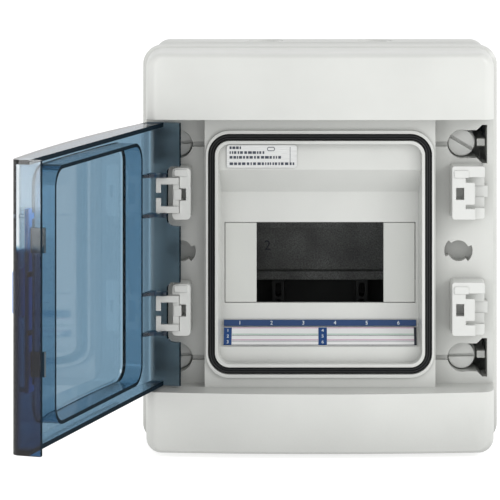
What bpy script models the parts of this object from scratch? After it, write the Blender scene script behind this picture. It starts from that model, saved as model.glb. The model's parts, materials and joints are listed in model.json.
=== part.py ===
"""A surface-mounted breaker panel box for six modules, with a clear hinged door.

Rear housing, front cover with a deep device recess, an open see-through door on
two hook hinges, a push-button latch, four quarter-turn cover screws, and the
mounting rail, carrier and terminals inside.

All sizes are millimetres. X runs to the right, depth is the distance from the
wall towards the person in front (world -Y), and Z runs up. The origin is the
centre of the back face, on the wall. A "side" is 1 for right and -1 for left; a
"level" is 1 for upper and -1 for lower.
"""

import math

import bmesh
import bpy

# ---------------------------------------------------------------- shared dimensions
# Names ending in _D are depths.
HALF_W, HALF_H = 101.5, 113.2      # half width and height at the joint flange
SPLIT_D = 58.0                     # where the rear housing ends
GAP = 0.3                          # clearance between separate pieces
FAR = 140.0                        # beyond the whole box, for cutting shapes

# Front cover and door
EDGE_D, CROWN = 105.0, 5.0         # front face at the sides, extra in the middle
CROWN_HALF_W = 97.0                # where the crown has fallen to nothing
CROWN_START_D = 64.6               # the cover's outline starts to bow here
CHANNEL_D = 82.5                   # floor of the side channels that hold the brackets
PLATFORM_D, RIM_D = 94.5, 96.0     # raised centre, and the seal's rim on it
CHANNEL_LOW, CHANNEL_TOP = -76.5, 74.7   # the door's recess in the cover
RING_Z = -1.5                      # the door, its seal and the screws centre here
RING = (0.0, RING_Z)
GROOVE = (63.1, 67.7, 12.2)        # outside of the seal groove: half x, half z, radius
SCREW_X, SCREW_Z = 80.5, 60.5      # cover screws, either side of RING_Z
SLOT_DEG = {"upper_left": 4.0, "upper_right": -30.0, "lower_left": 3.0, "lower_right": 1.0}
HINGE_X, HINGE_D = -90.8, 97.3     # door axis
OPEN_DEG = 107.6                   # how far the door stands open at rest
BUTTON_X, BUTTON_Z = 86.55, 5.0    # middle of the latch button
BUTTON_D = 106.6                   # front of the latch button

# Breaker window in the cover, centred on the rail
MODULE = 18.0                      # width of one breaker
WINDOW_D = 80.0                    # plane of the window
WINDOW_HALF_H = 22.9
LEDGE_Z = -44.7                    # below here the recess slopes forward at 45 degrees

# Rail and the pieces mounted inside
RAIL_Z, RAIL_D = -8.5, 32.0        # rail centre, and the plane of its lips
RAIL_SHEET = 1.0
RAIL_WEB_D = RAIL_D - 7.5          # back of the rail's web
FIXING_X = 46.0                    # rail screws and carrier screws
CARRIER_SCREW_Z = {"upper": 28, "lower": -44}
CARRIER_BACK_D, CARRIER_PLATE_D = 6.0, 8.6
STRIP_SCREW_X, TERMINAL_Z = 44, 92
STRIP_BACK_D, STRIP_FRONT_D = 8.0, 11.0
BAR_FRONT_D = 24.0                 # front of the brass terminal bars
TERMINAL_OFFSETS = (-11.0, 0.0, 11.0)

# Holes through the rear housing
WALL_HOLE_X, WALL_HOLE_Z = 70, 88
KNOCKOUT_X, KNOCKOUT_D = 32, 15

SIDES = (("left", -1), ("right", 1))
LEVELS = (("upper", 1), ("lower", -1))


def latch_bracket_z(level):
    return 0.3 + level * 32.7


def hinge_bracket_z(level):
    return -0.15 + level * 32.65


def hinge_hook_z(level):
    """Middle of a hinge hook, which the door's gussets follow."""
    return -1.25 + level * 33.15


def latch_hook_z(level):
    return 0.5 + level * 31.1


def screw_z(level):
    return RING_Z + level * SCREW_Z


# ---------------------------------------------------------------- outlines
def point(x, depth, z):
    """World position in metres."""
    return (x * 0.001, -depth * 0.001, z * 0.001)


def crown(x):
    """How far the front bows out at x."""
    return CROWN * (1 - (x / CROWN_HALF_W) ** 2)


def arc(x, y, radius, start, stop, segments):
    """Points on an arc round (x, y), angles in degrees, both ends included."""
    angles = [math.radians(start + (stop - start) * i / segments) for i in range(segments + 1)]
    return [(x + radius * math.cos(a), y + radius * math.sin(a)) for a in angles]


def circle(x, y, radius, segments, turn=0.0):
    return arc(x, y, radius, turn, 360 + turn, segments)[:-1]


def rounded(size, segments, middle=(0.0, 0.0), extra=0):
    """Rounded rectangle of size (half x, half z, radius).

    extra is the number of added points along its top and along its bottom.
    """
    half_x, half_z, radius = size
    right, top = half_x - radius, half_z - radius

    def span(x0, x1, z):
        return [(x0 + (x1 - x0) * (i + 1) / (extra + 1), z) for i in range(extra)]

    outline = arc(right, top, radius, 0, 90, segments)
    outline += span(right, -right, half_z)
    outline += arc(-right, top, radius, 90, 180, segments)
    outline += arc(-right, -top, radius, 180, 270, segments)
    outline += span(-right, right, -half_z)
    outline += arc(right, -top, radius, 270, 360, segments)
    return [(middle[0] + x, middle[1] + z) for x, z in outline]


def inset(size, amount):
    return tuple(value - amount for value in size)


def at_depth(outline, depth):
    return [(x, depth, z) for x, z in outline]


# ---------------------------------------------------------------- solids
def make(name, verts, faces):
    """Object from (x, depth, z) points."""
    mesh = bpy.data.meshes.new(name)
    mesh.from_pydata([point(*vert) for vert in verts], [], faces)
    editor = bmesh.new()
    editor.from_mesh(mesh)
    bmesh.ops.recalc_face_normals(editor, faces=editor.faces)
    editor.to_mesh(mesh)
    editor.free()
    obj = bpy.data.objects.new(name, mesh)
    bpy.context.scene.collection.objects.link(obj)
    return obj


def loft(name, rings, strips=False):
    """Closed body through rings of equal length. strips caps a curved end."""
    count = len(rings[0])
    verts = [vert for ring in rings for vert in ring]
    faces = []
    for k in range(len(rings) - 1):
        this, above = k * count, (k + 1) * count
        for i in range(count):
            j = (i + 1) % count
            faces.append((this + i, this + j, above + j, above + i))
    last = (len(rings) - 1) * count
    end = last + count - 1
    faces.append(tuple(range(count)))
    if strips:
        for i in range(count // 2 - 1):
            faces.append((last + i, last + i + 1, end - 1 - i, end - i))
    else:
        faces.append(tuple(last + i for i in range(count)))
    return make(name, verts, faces)


def rounded_loft(name, levels, segments=4, middle=(0.0, 0.0), bowed=False):
    """levels: (half x, half z, radius, depth). A bowed body takes on the front's crown."""
    rings = []
    for *size, depth in levels:
        share = 0.0
        if bowed:
            share = min(1.0, max(0.0, (depth - CROWN_START_D) / (EDGE_D - CROWN_START_D)))
        outline = rounded(size, segments, middle, extra=7 if bowed else 0)
        rings.append([(x, depth + share * crown(x), z) for x, z in outline])
    return loft(name, rings, strips=bowed)


def prism_d(name, outline, back, front):
    """Outline in (x, z), extruded along the depth."""
    return loft(name, [at_depth(outline, depth) for depth in (back, front)])


def prism_z(name, outline, z0, z1):
    """Outline in (x, depth), extruded along the height."""
    return loft(name, [[(x, depth, z) for x, depth in outline] for z in (z0, z1)])


def prism_x(name, outline, x0, x1):
    """Outline in (z, depth), extruded along the width."""
    return loft(name, [[(x, depth, z) for z, depth in outline] for x in (x0, x1)])


def box(name, x0, x1, back, front, z0, z1):
    """The x pair and the z pair may each come in either order."""
    x0, x1 = sorted((x0, x1))
    z0, z1 = sorted((z0, z1))
    return prism_d(name, [(x0, z0), (x1, z0), (x1, z1), (x0, z1)], back, front)


def rod_d(name, x, z, radius, back, front, segments, front_radius=None):
    """Rod or cone along the depth."""
    if front_radius is None:
        front_radius = radius
    turn = 180.0 / segments
    ends = ((radius, back), (front_radius, front))
    return loft(name, [at_depth(circle(x, z, size, segments, turn), d) for size, d in ends])


def rod_z(name, x, depth, radius, z0, z1, segments):
    """Upright rod; z0 and z1 may come in either order."""
    return prism_z(name, circle(x, depth, radius, segments, 180.0 / segments), *sorted((z0, z1)))


def annulus(name, outer, inner, back, front):
    """Ring between two outlines of equal length, extruded along the depth."""
    n = len(outer)
    verts = at_depth(outer + inner, back) + at_depth(outer + inner, front)
    faces = []
    for i in range(n):
        j = (i + 1) % n
        faces += [
            (i, j, n + j, n + i),
            (2 * n + i, 2 * n + j, 3 * n + j, 3 * n + i),
            (i, j, 2 * n + j, 2 * n + i),
            (n + i, n + j, 3 * n + j, 3 * n + i),
        ]
    return make(name, verts, faces)


def combine(body, tool, operation):
    """Apply a boolean to body and remove the tool."""
    modifier = body.modifiers.new("cut", "BOOLEAN")
    modifier.operation = operation
    modifier.solver = "EXACT"
    modifier.object = tool
    bpy.context.view_layer.update()
    graph = bpy.context.evaluated_depsgraph_get()
    mesh = bpy.data.meshes.new_from_object(body.evaluated_get(graph))
    body.modifiers.clear()
    body.data = mesh
    bpy.data.objects.remove(tool)


def cut(body, tool):
    combine(body, tool, "DIFFERENCE")


def add(body, tool):
    combine(body, tool, "UNION")


# ---------------------------------------------------------------- rear housing
# Half x, half z, corner radius, depth
HOUSING_LEVELS = [
    (96.9, 111.7, 7.8, 0), (97.8, 112.6, 8.6, 1.2), (98.4, 112.8, 9, 28),
    (99.3, 112.2, 9.2, 29), (99.8, 112.3, 9.3, 51.5),
    (HALF_W, HALF_H, 10, 52.6), (HALF_W, HALF_H, 10, SPLIT_D),
]
HOUSING_HOLLOW = [(95.2, 109.6, 6.5, 3), (97.0, 109.7, 7, 50), (97.8, 110.0, 7.2, 60)]


def add_screw_boss(body, x, z, front):
    """Blind boss on the housing floor for a carrier or strip screw."""
    add(body, rod_d("boss", x, z, 5, 2.2, front, 10))
    cut(body, rod_d("bore", x, z, 1.9, 3.2, front + 1.3, 10))


def build_rear_housing():
    body = rounded_loft("rear_housing", HOUSING_LEVELS)
    cut(body, rounded_loft("hollow", HOUSING_HOLLOW))
    for side in (1, -1):
        for level in (1, -1):
            # column for a cover screw, ribbed to the side wall
            x, z = side * SCREW_X, screw_z(level)
            add(body, rod_d("column", x, z, 6.5, 2, 62, 12))
            add(body, box("rib", side * 85.2, side * 94.2, 2.2, 60.5, z - 2.1, z + 2.1))
            add(body, box("rib_tip", side * 89.4, side * 94.2, 55, 73, z - 2.1, z + 2.1))
            cut(body, rod_d("bore", x, z, 3.6, 30, 65, 12))
            x, z = side * WALL_HOLE_X, level * WALL_HOLE_Z
            add(body, rod_d("boss", x, z, 6.5, 2.2, 6, 12))
            cut(body, rod_d("wall_hole", x, z, 2.75, -1, 8, 12))
        for z in CARRIER_SCREW_Z.values():
            add_screw_boss(body, side * FIXING_X, z, CARRIER_BACK_D - GAP)
        add_screw_boss(body, side * STRIP_SCREW_X, TERMINAL_Z, STRIP_BACK_D - GAP)
        for level in (1, -1):
            cut(body, rod_z("knockout", side * KNOCKOUT_X, KNOCKOUT_D, 10.3,
                            level * 102, level * 116, 16))
    return body


def build_housing_seal():
    outer, inner = rounded((97.1, 109.5, 6.6), 4), rounded((95.1, 107.5, 5.0), 4)
    return annulus("housing_seal", outer, inner, 56.4, 60.6)


def build_cable_plug(name, side, level):
    x = side * KNOCKOUT_X
    body = rod_z(name, x, KNOCKOUT_D, 10.0, level * 108.0, level * 112.4, 16)
    add(body, rod_z("flange", x, KNOCKOUT_D, 11.6, level * 107.6, level * 109.2, 16))
    cut(body, rod_z("dimple", x, KNOCKOUT_D, 7.5, level * 111.6, level * 114, 16))
    return body


def build_wall_cap(name, side, level):
    x, z = side * WALL_HOLE_X, level * WALL_HOLE_Z
    body = rod_d(name, x, z, 5.4, 6.3, 7.8, 12, front_radius=4.8)
    add(body, rod_d("stub", x, z, 2.3, 3.4, 6.8, 10))
    return body


# ---------------------------------------------------------------- front cover
COVER_SIDE = (97.6, 112.0, 8.2)    # half x, half z, radius where the front edge starts to curve
COVER_BEND = (6.4, 2.4, 4.6)       # how much each of those shrinks round the edge
BEND_DEPTH, BEND_STEPS = 6.5, 3
# Half x, half z, corner radius, depth
COVER_HOLLOW = [
    (98.6, 110.3, 7.6, 50), (98.6, 110.3, 7.6, 61.5), (96.6, 109.8, 7.0, 62.6),
    (95.1, 109.5, 6.2, 98.0), (93.6, 108.8, 5.2, 100.6), (90.6, 107.6, 3.2, 102.3),
]
# Section of the device recess, and of the wall kept behind it, in (z, depth)
RECESS_SECTION = [
    (66.0, 91.5), (45.5, 91.5), (31.7, WINDOW_D), (LEDGE_Z, WINDOW_D),
    (LEDGE_Z - 10, WINDOW_D + 10), (-66.0, 90), (-66.0, 120), (66.0, 120),
]
RECESS_WALL_SECTION = [
    (66.5, 88.9), (45, 88.9), (31, 77.6), (-44.2, 77.6),
    (-54.4, 87.6), (-66.5, 87.6), (-66.5, 150), (66.5, 150),
]
RECESS_PLUG = [(55.4, 61.0, 6, 76), (57.4, 61.9, 7, RIM_D), (57.4, 61.9, 7, 130)]
LOCK_X = 78.5                      # eared pockets level with the ring's centre
# Opening round a cover screw
WELL_RADIUS, WELL_NECK, WELL_FLARE = 8.15, 7.9, 10.9
NECK_X, FLARE_X, MOUTH_X = 88.9, 92.0, 94.8


def well_outline(grow, side, level):
    """Opening round a cover screw: a round end, a neck and a flared mouth."""
    radius, neck, flare = WELL_RADIUS + grow, WELL_NECK + grow, WELL_FLARE + grow
    start = math.degrees(math.acos(neck / radius))
    outline = [(SCREW_X + out, z) for z, out in arc(0, 0, radius, start, -180 - start, 8)]
    outline += [
        (NECK_X, -neck), (FLARE_X, -flare), (MOUTH_X + grow, -flare),
        (MOUTH_X + grow, flare), (FLARE_X, flare), (NECK_X, neck),
    ]
    outline = [(side * x, z + screw_z(level)) for x, z in outline]
    return outline if side > 0 else outline[::-1]


def lock_outline(x, z):
    """Round pocket with an ear on either side, turned a little."""
    outline = []
    for start, stop, radius in ((-35, 35, 8.0), (35, 145, 5.9), (145, 215, 8.0), (215, 325, 5.9)):
        outline += arc(x, z, radius, start - 12, stop - 12, 5)
    return outline


def stepped_section(floor, half_width, raised, front):
    """Section in (x, depth) of the space in front of a floor raised in the middle."""
    return [
        (-FAR, floor), (-half_width, floor), (-half_width, raised), (half_width, raised),
        (half_width, floor), (FAR, floor), (FAR, front), (-FAR, front),
    ]


def cover_shell():
    levels = [
        (HALF_W, HALF_H, 10, SPLIT_D + GAP), (HALF_W, HALF_H, 10, 63.4),
        (99.1, 112.3, 9.0, CROWN_START_D), (*COVER_SIDE, EDGE_D - BEND_DEPTH),
    ]
    for i in range(1, BEND_STEPS + 1):
        angle = math.radians(90.0 * i / BEND_STEPS)
        bend = 1 - math.cos(angle)
        size = [full - shrink * bend for full, shrink in zip(COVER_SIDE, COVER_BEND)]
        levels.append((*size, EDGE_D - BEND_DEPTH + BEND_DEPTH * math.sin(angle)))
    return rounded_loft("front_cover", levels, bowed=True)


def cover_hollow():
    """Space inside the cover, left away from everything that stands in it."""
    hollow = rounded_loft("hollow", COVER_HOLLOW, bowed=True)
    channel = stepped_section(CHANNEL_D - 2.3, 62, 90.2, 150)
    cut(hollow, prism_z("keep", channel, CHANNEL_LOW - 3.6, CHANNEL_TOP + 3.0))
    cut(hollow, prism_x("keep", RECESS_WALL_SECTION, -59.3, 59.3))
    for side in (1, -1):
        for level in (1, -1):
            cut(hollow, prism_d("keep", well_outline(2.0, side, level), 61.2, 150))
            z = screw_z(level)
            cut(hollow, box("keep", side * 60.0, side * 72.0, 76.5, 150, z - 3.4, z + 3.4))
        cut(hollow, rod_d("keep", side * LOCK_X, RING_Z, 10.4, 72.3, 150, 16))
    return hollow


def device_recess():
    recess = prism_x("recess", RECESS_SECTION, -70, 70)
    combine(recess, rounded_loft("plug", RECESS_PLUG, 5, RING), "INTERSECT")
    return recess


def build_front_cover():
    body = cover_shell()
    channel = stepped_section(CHANNEL_D, 65.0, PLATFORM_D, FAR)
    cut(body, prism_z("channel", channel, CHANNEL_LOW, CHANNEL_TOP))
    # the channel's end walls lean outwards in front of the platform
    for z, lean, far_lean, middle in (
        (CHANNEL_LOW, -0.9, -1.3, CHANNEL_LOW + 5),
        (CHANNEL_TOP, 0.5, 0.9, CHANNEL_TOP - 5),
    ):
        section = [
            (z, PLATFORM_D), (z + lean, 108), (z + far_lean, 112),
            (z + far_lean, FAR), (middle, FAR), (middle, PLATFORM_D),
        ]
        cut(body, prism_x("draft", section, -FAR, FAR))
    cut(body, cover_hollow())
    add(body, prism_d("rim", rounded((64.2, 69.6, 13.3), 5, RING), 93.4, RIM_D))
    outer, inner = rounded(GROOVE, 5, RING), rounded(inset(GROOVE, 4.0), 5, RING)
    cut(body, annulus("groove", outer, inner, 92.4, 101))
    cut(body, device_recess())
    half_w = 3 * MODULE + 0.2
    cut(body, box("window", -half_w, half_w, 70, 90,
                  RAIL_Z - WINDOW_HALF_H, RAIL_Z + WINDOW_HALF_H))
    for side in (1, -1):
        for level in (1, -1):
            x, z = side * SCREW_X, screw_z(level)
            cut(body, prism_d("well", well_outline(0, side, level), 50, 130))
            add(body, rod_d("seat", x, z, 8.5, 64, 67, 16))
            cut(body, rod_d("bore", x, z, 3.9, 60, 75, 12))
            cut(body, box("slot", side * 65.6, side * 72.9, 79.4, 95, z - 1.4, z + 1.4))
        cut(body, prism_d("pocket", lock_outline(side * LOCK_X, RING_Z), 74.5, 95))
    return body


def build_door_seal():
    """Lies in the cover's groove, clear of both its walls."""
    outer, inner = (rounded(inset(GROOVE, amount), 5, RING) for amount in (0.2, 3.8))
    return annulus("door_seal", outer, inner, 92.7, 95.3)


# ---------------------------------------------------------------- inside
def build_din_rail():
    """Top-hat rail, mirrored about its centre line."""
    lip, web_front = RAIL_D - RAIL_SHEET, RAIL_WEB_D + RAIL_SHEET
    low, top = RAIL_Z - 12.5, RAIL_Z + 12.5
    section = [
        (low - 5, lip), (low - 5, RAIL_D), (low, RAIL_D), (low, web_front),
        (top, web_front), (top, RAIL_D), (top + 5, RAIL_D), (top + 5, lip),
        (top + RAIL_SHEET, lip), (top + RAIL_SHEET, RAIL_WEB_D),
        (low - RAIL_SHEET, RAIL_WEB_D), (low - RAIL_SHEET, lip),
    ]
    body = prism_x("din_rail", section, -56, 56)
    for side in (1, -1):
        cut(body, rod_d("hole", side * FIXING_X, RAIL_Z, 2.3, 20, 30, 12))
    return body


def build_rail_carrier():
    body = box("rail_carrier", -52, 52, CARRIER_BACK_D, CARRIER_PLATE_D, -50, 34)
    front = RAIL_WEB_D - GAP
    for side in (1, -1):
        x = side * 24.5
        add(body, box("upright", x - 3.6, x + 3.6, 8, front, -46, 30))
        slot = arc(x, -30.5, 1.65, 0, 180, 6) + arc(x, -35.6, 1.65, 180, 360, 6)
        cut(body, prism_d("slot", slot, 12, 30))
        cut(body, rod_d("hole", x, -40.2, 1.6, 12, 30, 10))
        # block behind each end of the rail
        add(body, box("block", side * 40, side * 51.5, 8, front, -20, 3))
        cut(body, rod_d("bore", side * FIXING_X, RAIL_Z, 2.1, 9.5, 30, 10))
        for z in CARRIER_SCREW_Z.values():
            cut(body, rod_d("hole", side * FIXING_X, z, 2.3, 4, 12, 10))
    return body


def build_pan_screw(name, x, z, head_back, length, shaft_radius=1.5, head_radius=3.3):
    """Slotted pan-head screw: underside of the head at head_back."""
    body = rod_d(name, x, z, head_radius, head_back, head_back + 2.2, 12, head_radius * 0.8)
    cut(body, box("slot", x - 5, x + 5, head_back + 1.2, head_back + 5, z - 0.4, z + 0.4))
    add(body, rod_d("shaft", x, z, shaft_radius, head_back - length, head_back + 0.5, 10))
    return body


def build_rail_screw(name, side):
    head_back = RAIL_WEB_D + RAIL_SHEET + GAP
    return build_pan_screw(name, side * FIXING_X, RAIL_Z, head_back, length=12,
                           shaft_radius=1.7, head_radius=3.8)


def build_terminal_strip():
    body = box("terminal_strip", -50, 50, STRIP_BACK_D, STRIP_FRONT_D, 79, 104)
    for side in (1, -1):
        add(body, box("lug", side * 48.0, side * 50.0, 10, 14.4, 83, 101))
        cut(body, rod_d("hole", side * STRIP_SCREW_X, TERMINAL_Z, 2.3, 5, 15, 10))
    return body


def terminal_block(name, x, half_w, half_h, back, front):
    return box(name, x - half_w, x + half_w, back, front, TERMINAL_Z - half_h, TERMINAL_Z + half_h)


def build_terminal_base(name, x):
    body = terminal_block(name, x, 17.5, 8, STRIP_FRONT_D + GAP, 27.0)
    cut(body, terminal_block("trough", x, 15.7, 4.8, 16.5, 30))
    return body


def build_terminal_bar(name, x):
    body = terminal_block(name, x, 15.2, 4, 16.9, BAR_FRONT_D)
    for offset in TERMINAL_OFFSETS:
        cut(body, rod_z("wire_hole", x + offset, 19.6, 1.6, 80, 104, 8))
        cut(body, rod_d("thread", x + offset, TERMINAL_Z, 1.9, 18.8, 30, 8))
    return body


# ---------------------------------------------------------------- cover fittings
BRACKET_BACK_D, BRACKET_FRONT_D = CHANNEL_D + GAP, 96.5
LABEL_HALF_W = 54.6


def bracket_body(name, back_size, back_x, front_size, front_x, z):
    return loft(name, [
        at_depth(rounded(back_size, 2, (back_x, z)), BRACKET_BACK_D),
        at_depth(rounded(front_size, 2, (front_x, z)), BRACKET_FRONT_D),
    ])


def bracket_pad(half_x, half_z, middle, back, front):
    """Small raised pad that tapers towards its front."""
    return loft("pad", [
        at_depth(rounded((half_x, half_z, 0.8), 2, middle), back),
        at_depth(rounded((half_x - 0.3, half_z - 0.3, 0.8), 2, middle), front),
    ])


def build_latch_bracket(name, level):
    """Right-hand bracket, with the overhanging tab that the hook catches."""
    z = latch_bracket_z(level)
    body = bracket_body(name, (9.7, 15.4, 1.8), 83.3, (9.2, 15.0, 1.4), 83.6, z)
    add(body, box("low_plate", 86.0, 94.8, BRACKET_BACK_D + 0.01, 88.2, z - 3.2, z + 3.2))
    cut(body, box("pocket", 82.0, 100, 89.0, 98, z - 9.0, z + 8.9))
    cut(body, box("step", 87.4, 100, 88.2, 98, z - 3.2, z + 3.2))
    cut(body, box("low_arm", 87.4, 100, 92.2, 98, z - 16, z - 8.9))
    add(body, prism_d("tab", rounded((3.65, 6.2, 0.9), 2, (83.5, z - 0.4)), 94.2, 96.47))
    add(body, bracket_pad(4.3, 2.3, (79.7, z + 10.6), 96, 97.1))
    cut(body, box("hole", 76.6, 81.1, 87.0, 99, z - 3.9, z + 2.9))
    return body


def build_hinge_bracket(name, level):
    """Left-hand bracket, which holds the hinge hook."""
    z, hook = hinge_bracket_z(level), hinge_hook_z(level)
    body = bracket_body(name, (5.4, 14.8, 2.4), -77.9, (5.1, 14.5, 2.2), -78.0, z)
    add(body, bracket_pad(4.0, 2.1, (-78.2, z + 11.9), 95, 97.3))
    cut(body, box("seat", -90, -79.0, 92.6, 99, hook - 10.2, hook + 10.2))
    cut(body, box("hole", -80.6, -75.4, 87.0, 99, z - 3.7, z + 3.1))
    return body


def build_hinge_hook(name, level):
    """C-shaped clip: back bar, two arms, sprung tips and stub pins on the door axis."""
    z, hole = hinge_hook_z(level), hinge_bracket_z(level)
    x0, x1 = HINGE_X - 1.4, HINGE_X + 1.4
    back, front = HINGE_D - 1.3, HINGE_D + 1.3
    body = box(name, -82.7, -79.3, 92.9, 97.0, z - 9.9, z + 9.9)
    add(body, box("tongue", -82.2, -78.0, 94.6, 97.2, hole - 3.3, hole + 2.7))
    # small offsets keep the joined faces from lying in one plane
    for end in (1, -1):
        add(body, box("arm", x0, -79.35, HINGE_D - 0.85, front - 0.02,
                      z + end * 6.2, z + end * 9.88))
        add(body, box("tip", x0 + 0.02, x1, back + 0.02, front - 0.04,
                      z + end * 1.5, z + end * 7.0))
        add(body, rod_z("pin", HINGE_X, HINGE_D, 1.25, z + end * 9.4, z + end * 12.1, 16))
    return body


def build_cover_screw(name, x, z, slot_deg):
    # (radius, depth) from the back of the head to its front
    head_levels = ((7.4, 68.4), (7.65, 69.0), (7.65, 74.5), (7.2, 75.0))
    body = loft(name, [at_depth(circle(x, z, radius, 24), d) for radius, d in head_levels])
    cos, sin = math.cos(math.radians(slot_deg)), math.sin(math.radians(slot_deg))
    corners = ((-9, -0.85), (9, -0.85), (9, 0.85), (-9, 0.85))
    slot = [(x + cos * i - sin * j, z + sin * i + cos * j) for i, j in corners]
    cut(body, prism_d("slot", slot, 72.2, 80))
    add(body, rod_d("shaft", x, z, 3.2, 36, 69, 12))
    return body


def build_screw_seal(name, x, z):
    return annulus(name, circle(x, z, 6.8, 16), circle(x, z, 4.2, 16), 67.2, 68.1)


def build_blanking_plate(name, side):
    """Fills the outermost module of the window on one side."""
    x0, x1 = sorted((side * (2 * MODULE + 0.05), side * (3 * MODULE - 0.1)))
    half_h = WINDOW_HALF_H - GAP
    body = box(name, x0, x1, 77.2, WINDOW_D, RAIL_Z - half_h, RAIL_Z + half_h)
    for level in (1, -1):
        add(body, box("clip", x0 + 3, x1 - 3, 74.4, 78,
                      RAIL_Z + level * 16.5, RAIL_Z + level * 18.5))
    return body


def build_rating_plate():
    return prism_d("rating_plate", rounded((19.8, 6.4, 1.2), 2, (-32.8, 53.1)), 91.8, 92.2)


def build_number_strip():
    return box("number_strip", -LABEL_HALF_W, LABEL_HALF_W, WINDOW_D + GAP, WINDOW_D + 1.1,
               LEDGE_Z + GAP, -41.0)


def build_label_card():
    """Card on the slope below the window, which faces up and out."""
    # (distance down and out along the slope, lift off it)
    corners = ((0.9, 0.25), (0.9, 0.65), (9.8, 0.65), (9.8, 0.25))
    section = [(LEDGE_Z - run + lift, WINDOW_D + run + lift) for run, lift in corners]
    return prism_x("label_card", section, -LABEL_HALF_W, LABEL_HALF_W)


# ---------------------------------------------------------------- door (modelled closed)
DOOR_HALF_W, DOOR_HALF_H = 96.5, 74.0
DOOR_ROUND, DOOR_WALL = 5.0, 2.5
DOOR_FRAME = (62.3, 66.9, 11.3)    # raised panel: half x, half z, radius
# Hinge gusset in (x, depth)
GUSSET = [
    (-95, 93.7), (-95, 104.0), (-82.6, 105.4), (-82.6, 103.0),
    (-87.6, 98.6), (-88.4, 93.4), (-89.6, 92.2), (-92.2, 92.2),
]
BAR_BACK_D, BAR_TOP_D = 97.0, 99.2       # back and front of the latch bar
HOOK_FRONT_D = 96.7                # front of the latch hooks and of the feet beside them


def door_section(wall, back):
    """Door section in (x, depth), inset by wall from the outer surface."""
    half_w, bend_x = DOOR_HALF_W - wall, DOOR_HALF_W - DOOR_ROUND
    radius, front = DOOR_ROUND - wall, EDGE_D + crown(bend_x) - wall
    xs = [-bend_x + 2 * bend_x * (i + 1) / 13 for i in range(12)]
    section = [(-half_w, back)] + arc(-bend_x, front - radius, radius, 180, 90, 3)
    section += [(x, EDGE_D + crown(x) - wall) for x in xs]
    return section + arc(bend_x, front - radius, radius, 90, 0, 3) + [(half_w, back)]


def frame_body(name, back, fronts):
    """Rounded body with a flat back and a front that follows the door's bow.

    fronts: (inset from DOOR_FRAME, rise above the door's front).
    """
    def outline(amount):
        return rounded(inset(DOOR_FRAME, amount), 5, RING, extra=5)

    rings = [at_depth(outline(fronts[0][0]), back)]
    for amount, rise in fronts:
        rings.append([(x, EDGE_D + crown(x) + rise, z) for x, z in outline(amount)])
    return loft(name, rings, strips=True)


def add_hinge_eyes(body, level):
    """Notch the left wall round a hinge bracket and add two gussets with eyes."""
    middle = hinge_bracket_z(level)
    z0, z1, radius = middle - 18.2, middle + 15.5, 3.6
    notch = [(z0, 80)] + arc(z0 + radius, 90.0, radius, 180, 90, 2)
    notch += arc(z1 - radius, 90.0, radius, 90, 0, 2) + [(z1, 80)]
    cut(body, prism_x("notch", notch, -100, -92))
    hook = hinge_hook_z(level)
    for end in (1, -1):
        low, top = sorted((hook + end * 10.2, hook + end * 12.2))
        add(body, prism_z("gusset", GUSSET, low, top))
        cut(body, rod_z("eye", HINGE_X, HINGE_D, 1.6, low - 0.5, top + 0.5, 16))


def build_door():
    low, top = RING_Z - DOOR_HALF_H, RING_Z + DOOR_HALF_H
    body = prism_z("door", door_section(0, 86.0), low, top)
    add(body, frame_body("window", 100, [(0, 0.9), (1.1, 2.0)]))
    # the hollow leaves a rib behind the panel's outline
    inner = prism_z("inner", door_section(DOOR_WALL, 80), low + DOOR_WALL, top - DOOR_WALL)
    cut(inner, frame_body("rib", 95.7, [(0.2, 1)]))
    cut(body, inner)
    cut(body, frame_body("pocket", 80, [(2.2, -1.3), (3.1, -0.5)]))
    # the top, bottom and right-hand walls stop short of the left-hand one
    for edge, z in ((low, low + 2.7), (top, top - 2.7)):
        cut(body, box("trim", -94, 94, 80, 95.5, z, edge * 1.1))
    cut(body, box("trim", 90, 100, 80, 89.0, -80, 80))
    for level in (1, -1):
        add_hinge_eyes(body, level)
        # a foot behind the latch bar's plane and a rib further out
        z = level * 14.6 + 0.3
        add(body, box("foot", 89.5, 94.5, 95.4, HOOK_FRONT_D, z - 1.2, z + 1.2))
        add(body, box("rib", 87.0, 91.0, 99.5, 104.5, level * 42.8, level * 44.4))
    hole = rounded((4.95, 11.25, 1.6), 3, (BUTTON_X, BUTTON_Z))
    cut(body, prism_d("button_hole", hole, 100, 115))
    return body


def build_latch_button():
    """Sits a little proud of the door's front, with a flange behind it."""
    middle = (BUTTON_X, BUTTON_Z)
    flange = rounded((5.5, 12.1, 1.6), 3, (86.35, BUTTON_Z))
    body = prism_d("latch_button", rounded((4.7, 11.0, 1.4), 3, middle), 102.3, BUTTON_D)
    add(body, prism_d("flange", flange, 102.1, 102.7))
    cut(body, prism_d("dish", rounded((3.2, 8.6, 2.4), 3, middle), 106.1, 108))
    return body


def build_latch_bar():
    body = box("latch_bar", 87.2, 91.6, BAR_BACK_D, BAR_TOP_D, -45, 47.5)
    for level in (1, -1):
        z = level * 44.5
        add(body, box("wing", 84.6, 88.0, BAR_BACK_D, BAR_TOP_D,
                      z - level * 2.6, z + level * 0.4))
    return body


def build_latch_hook(name, level):
    z = latch_hook_z(level)
    body = box(name, 88.0, 90.0, 89.6, HOOK_FRONT_D, z - 6.4, z + 6.4)
    barb = [(86.2, 93.9), (86.4, 92.6), (88.2, 90.4), (88.2, 93.9)]
    add(body, prism_z("barb", barb, z - 6.2, z + 6.2))
    return body


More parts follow.
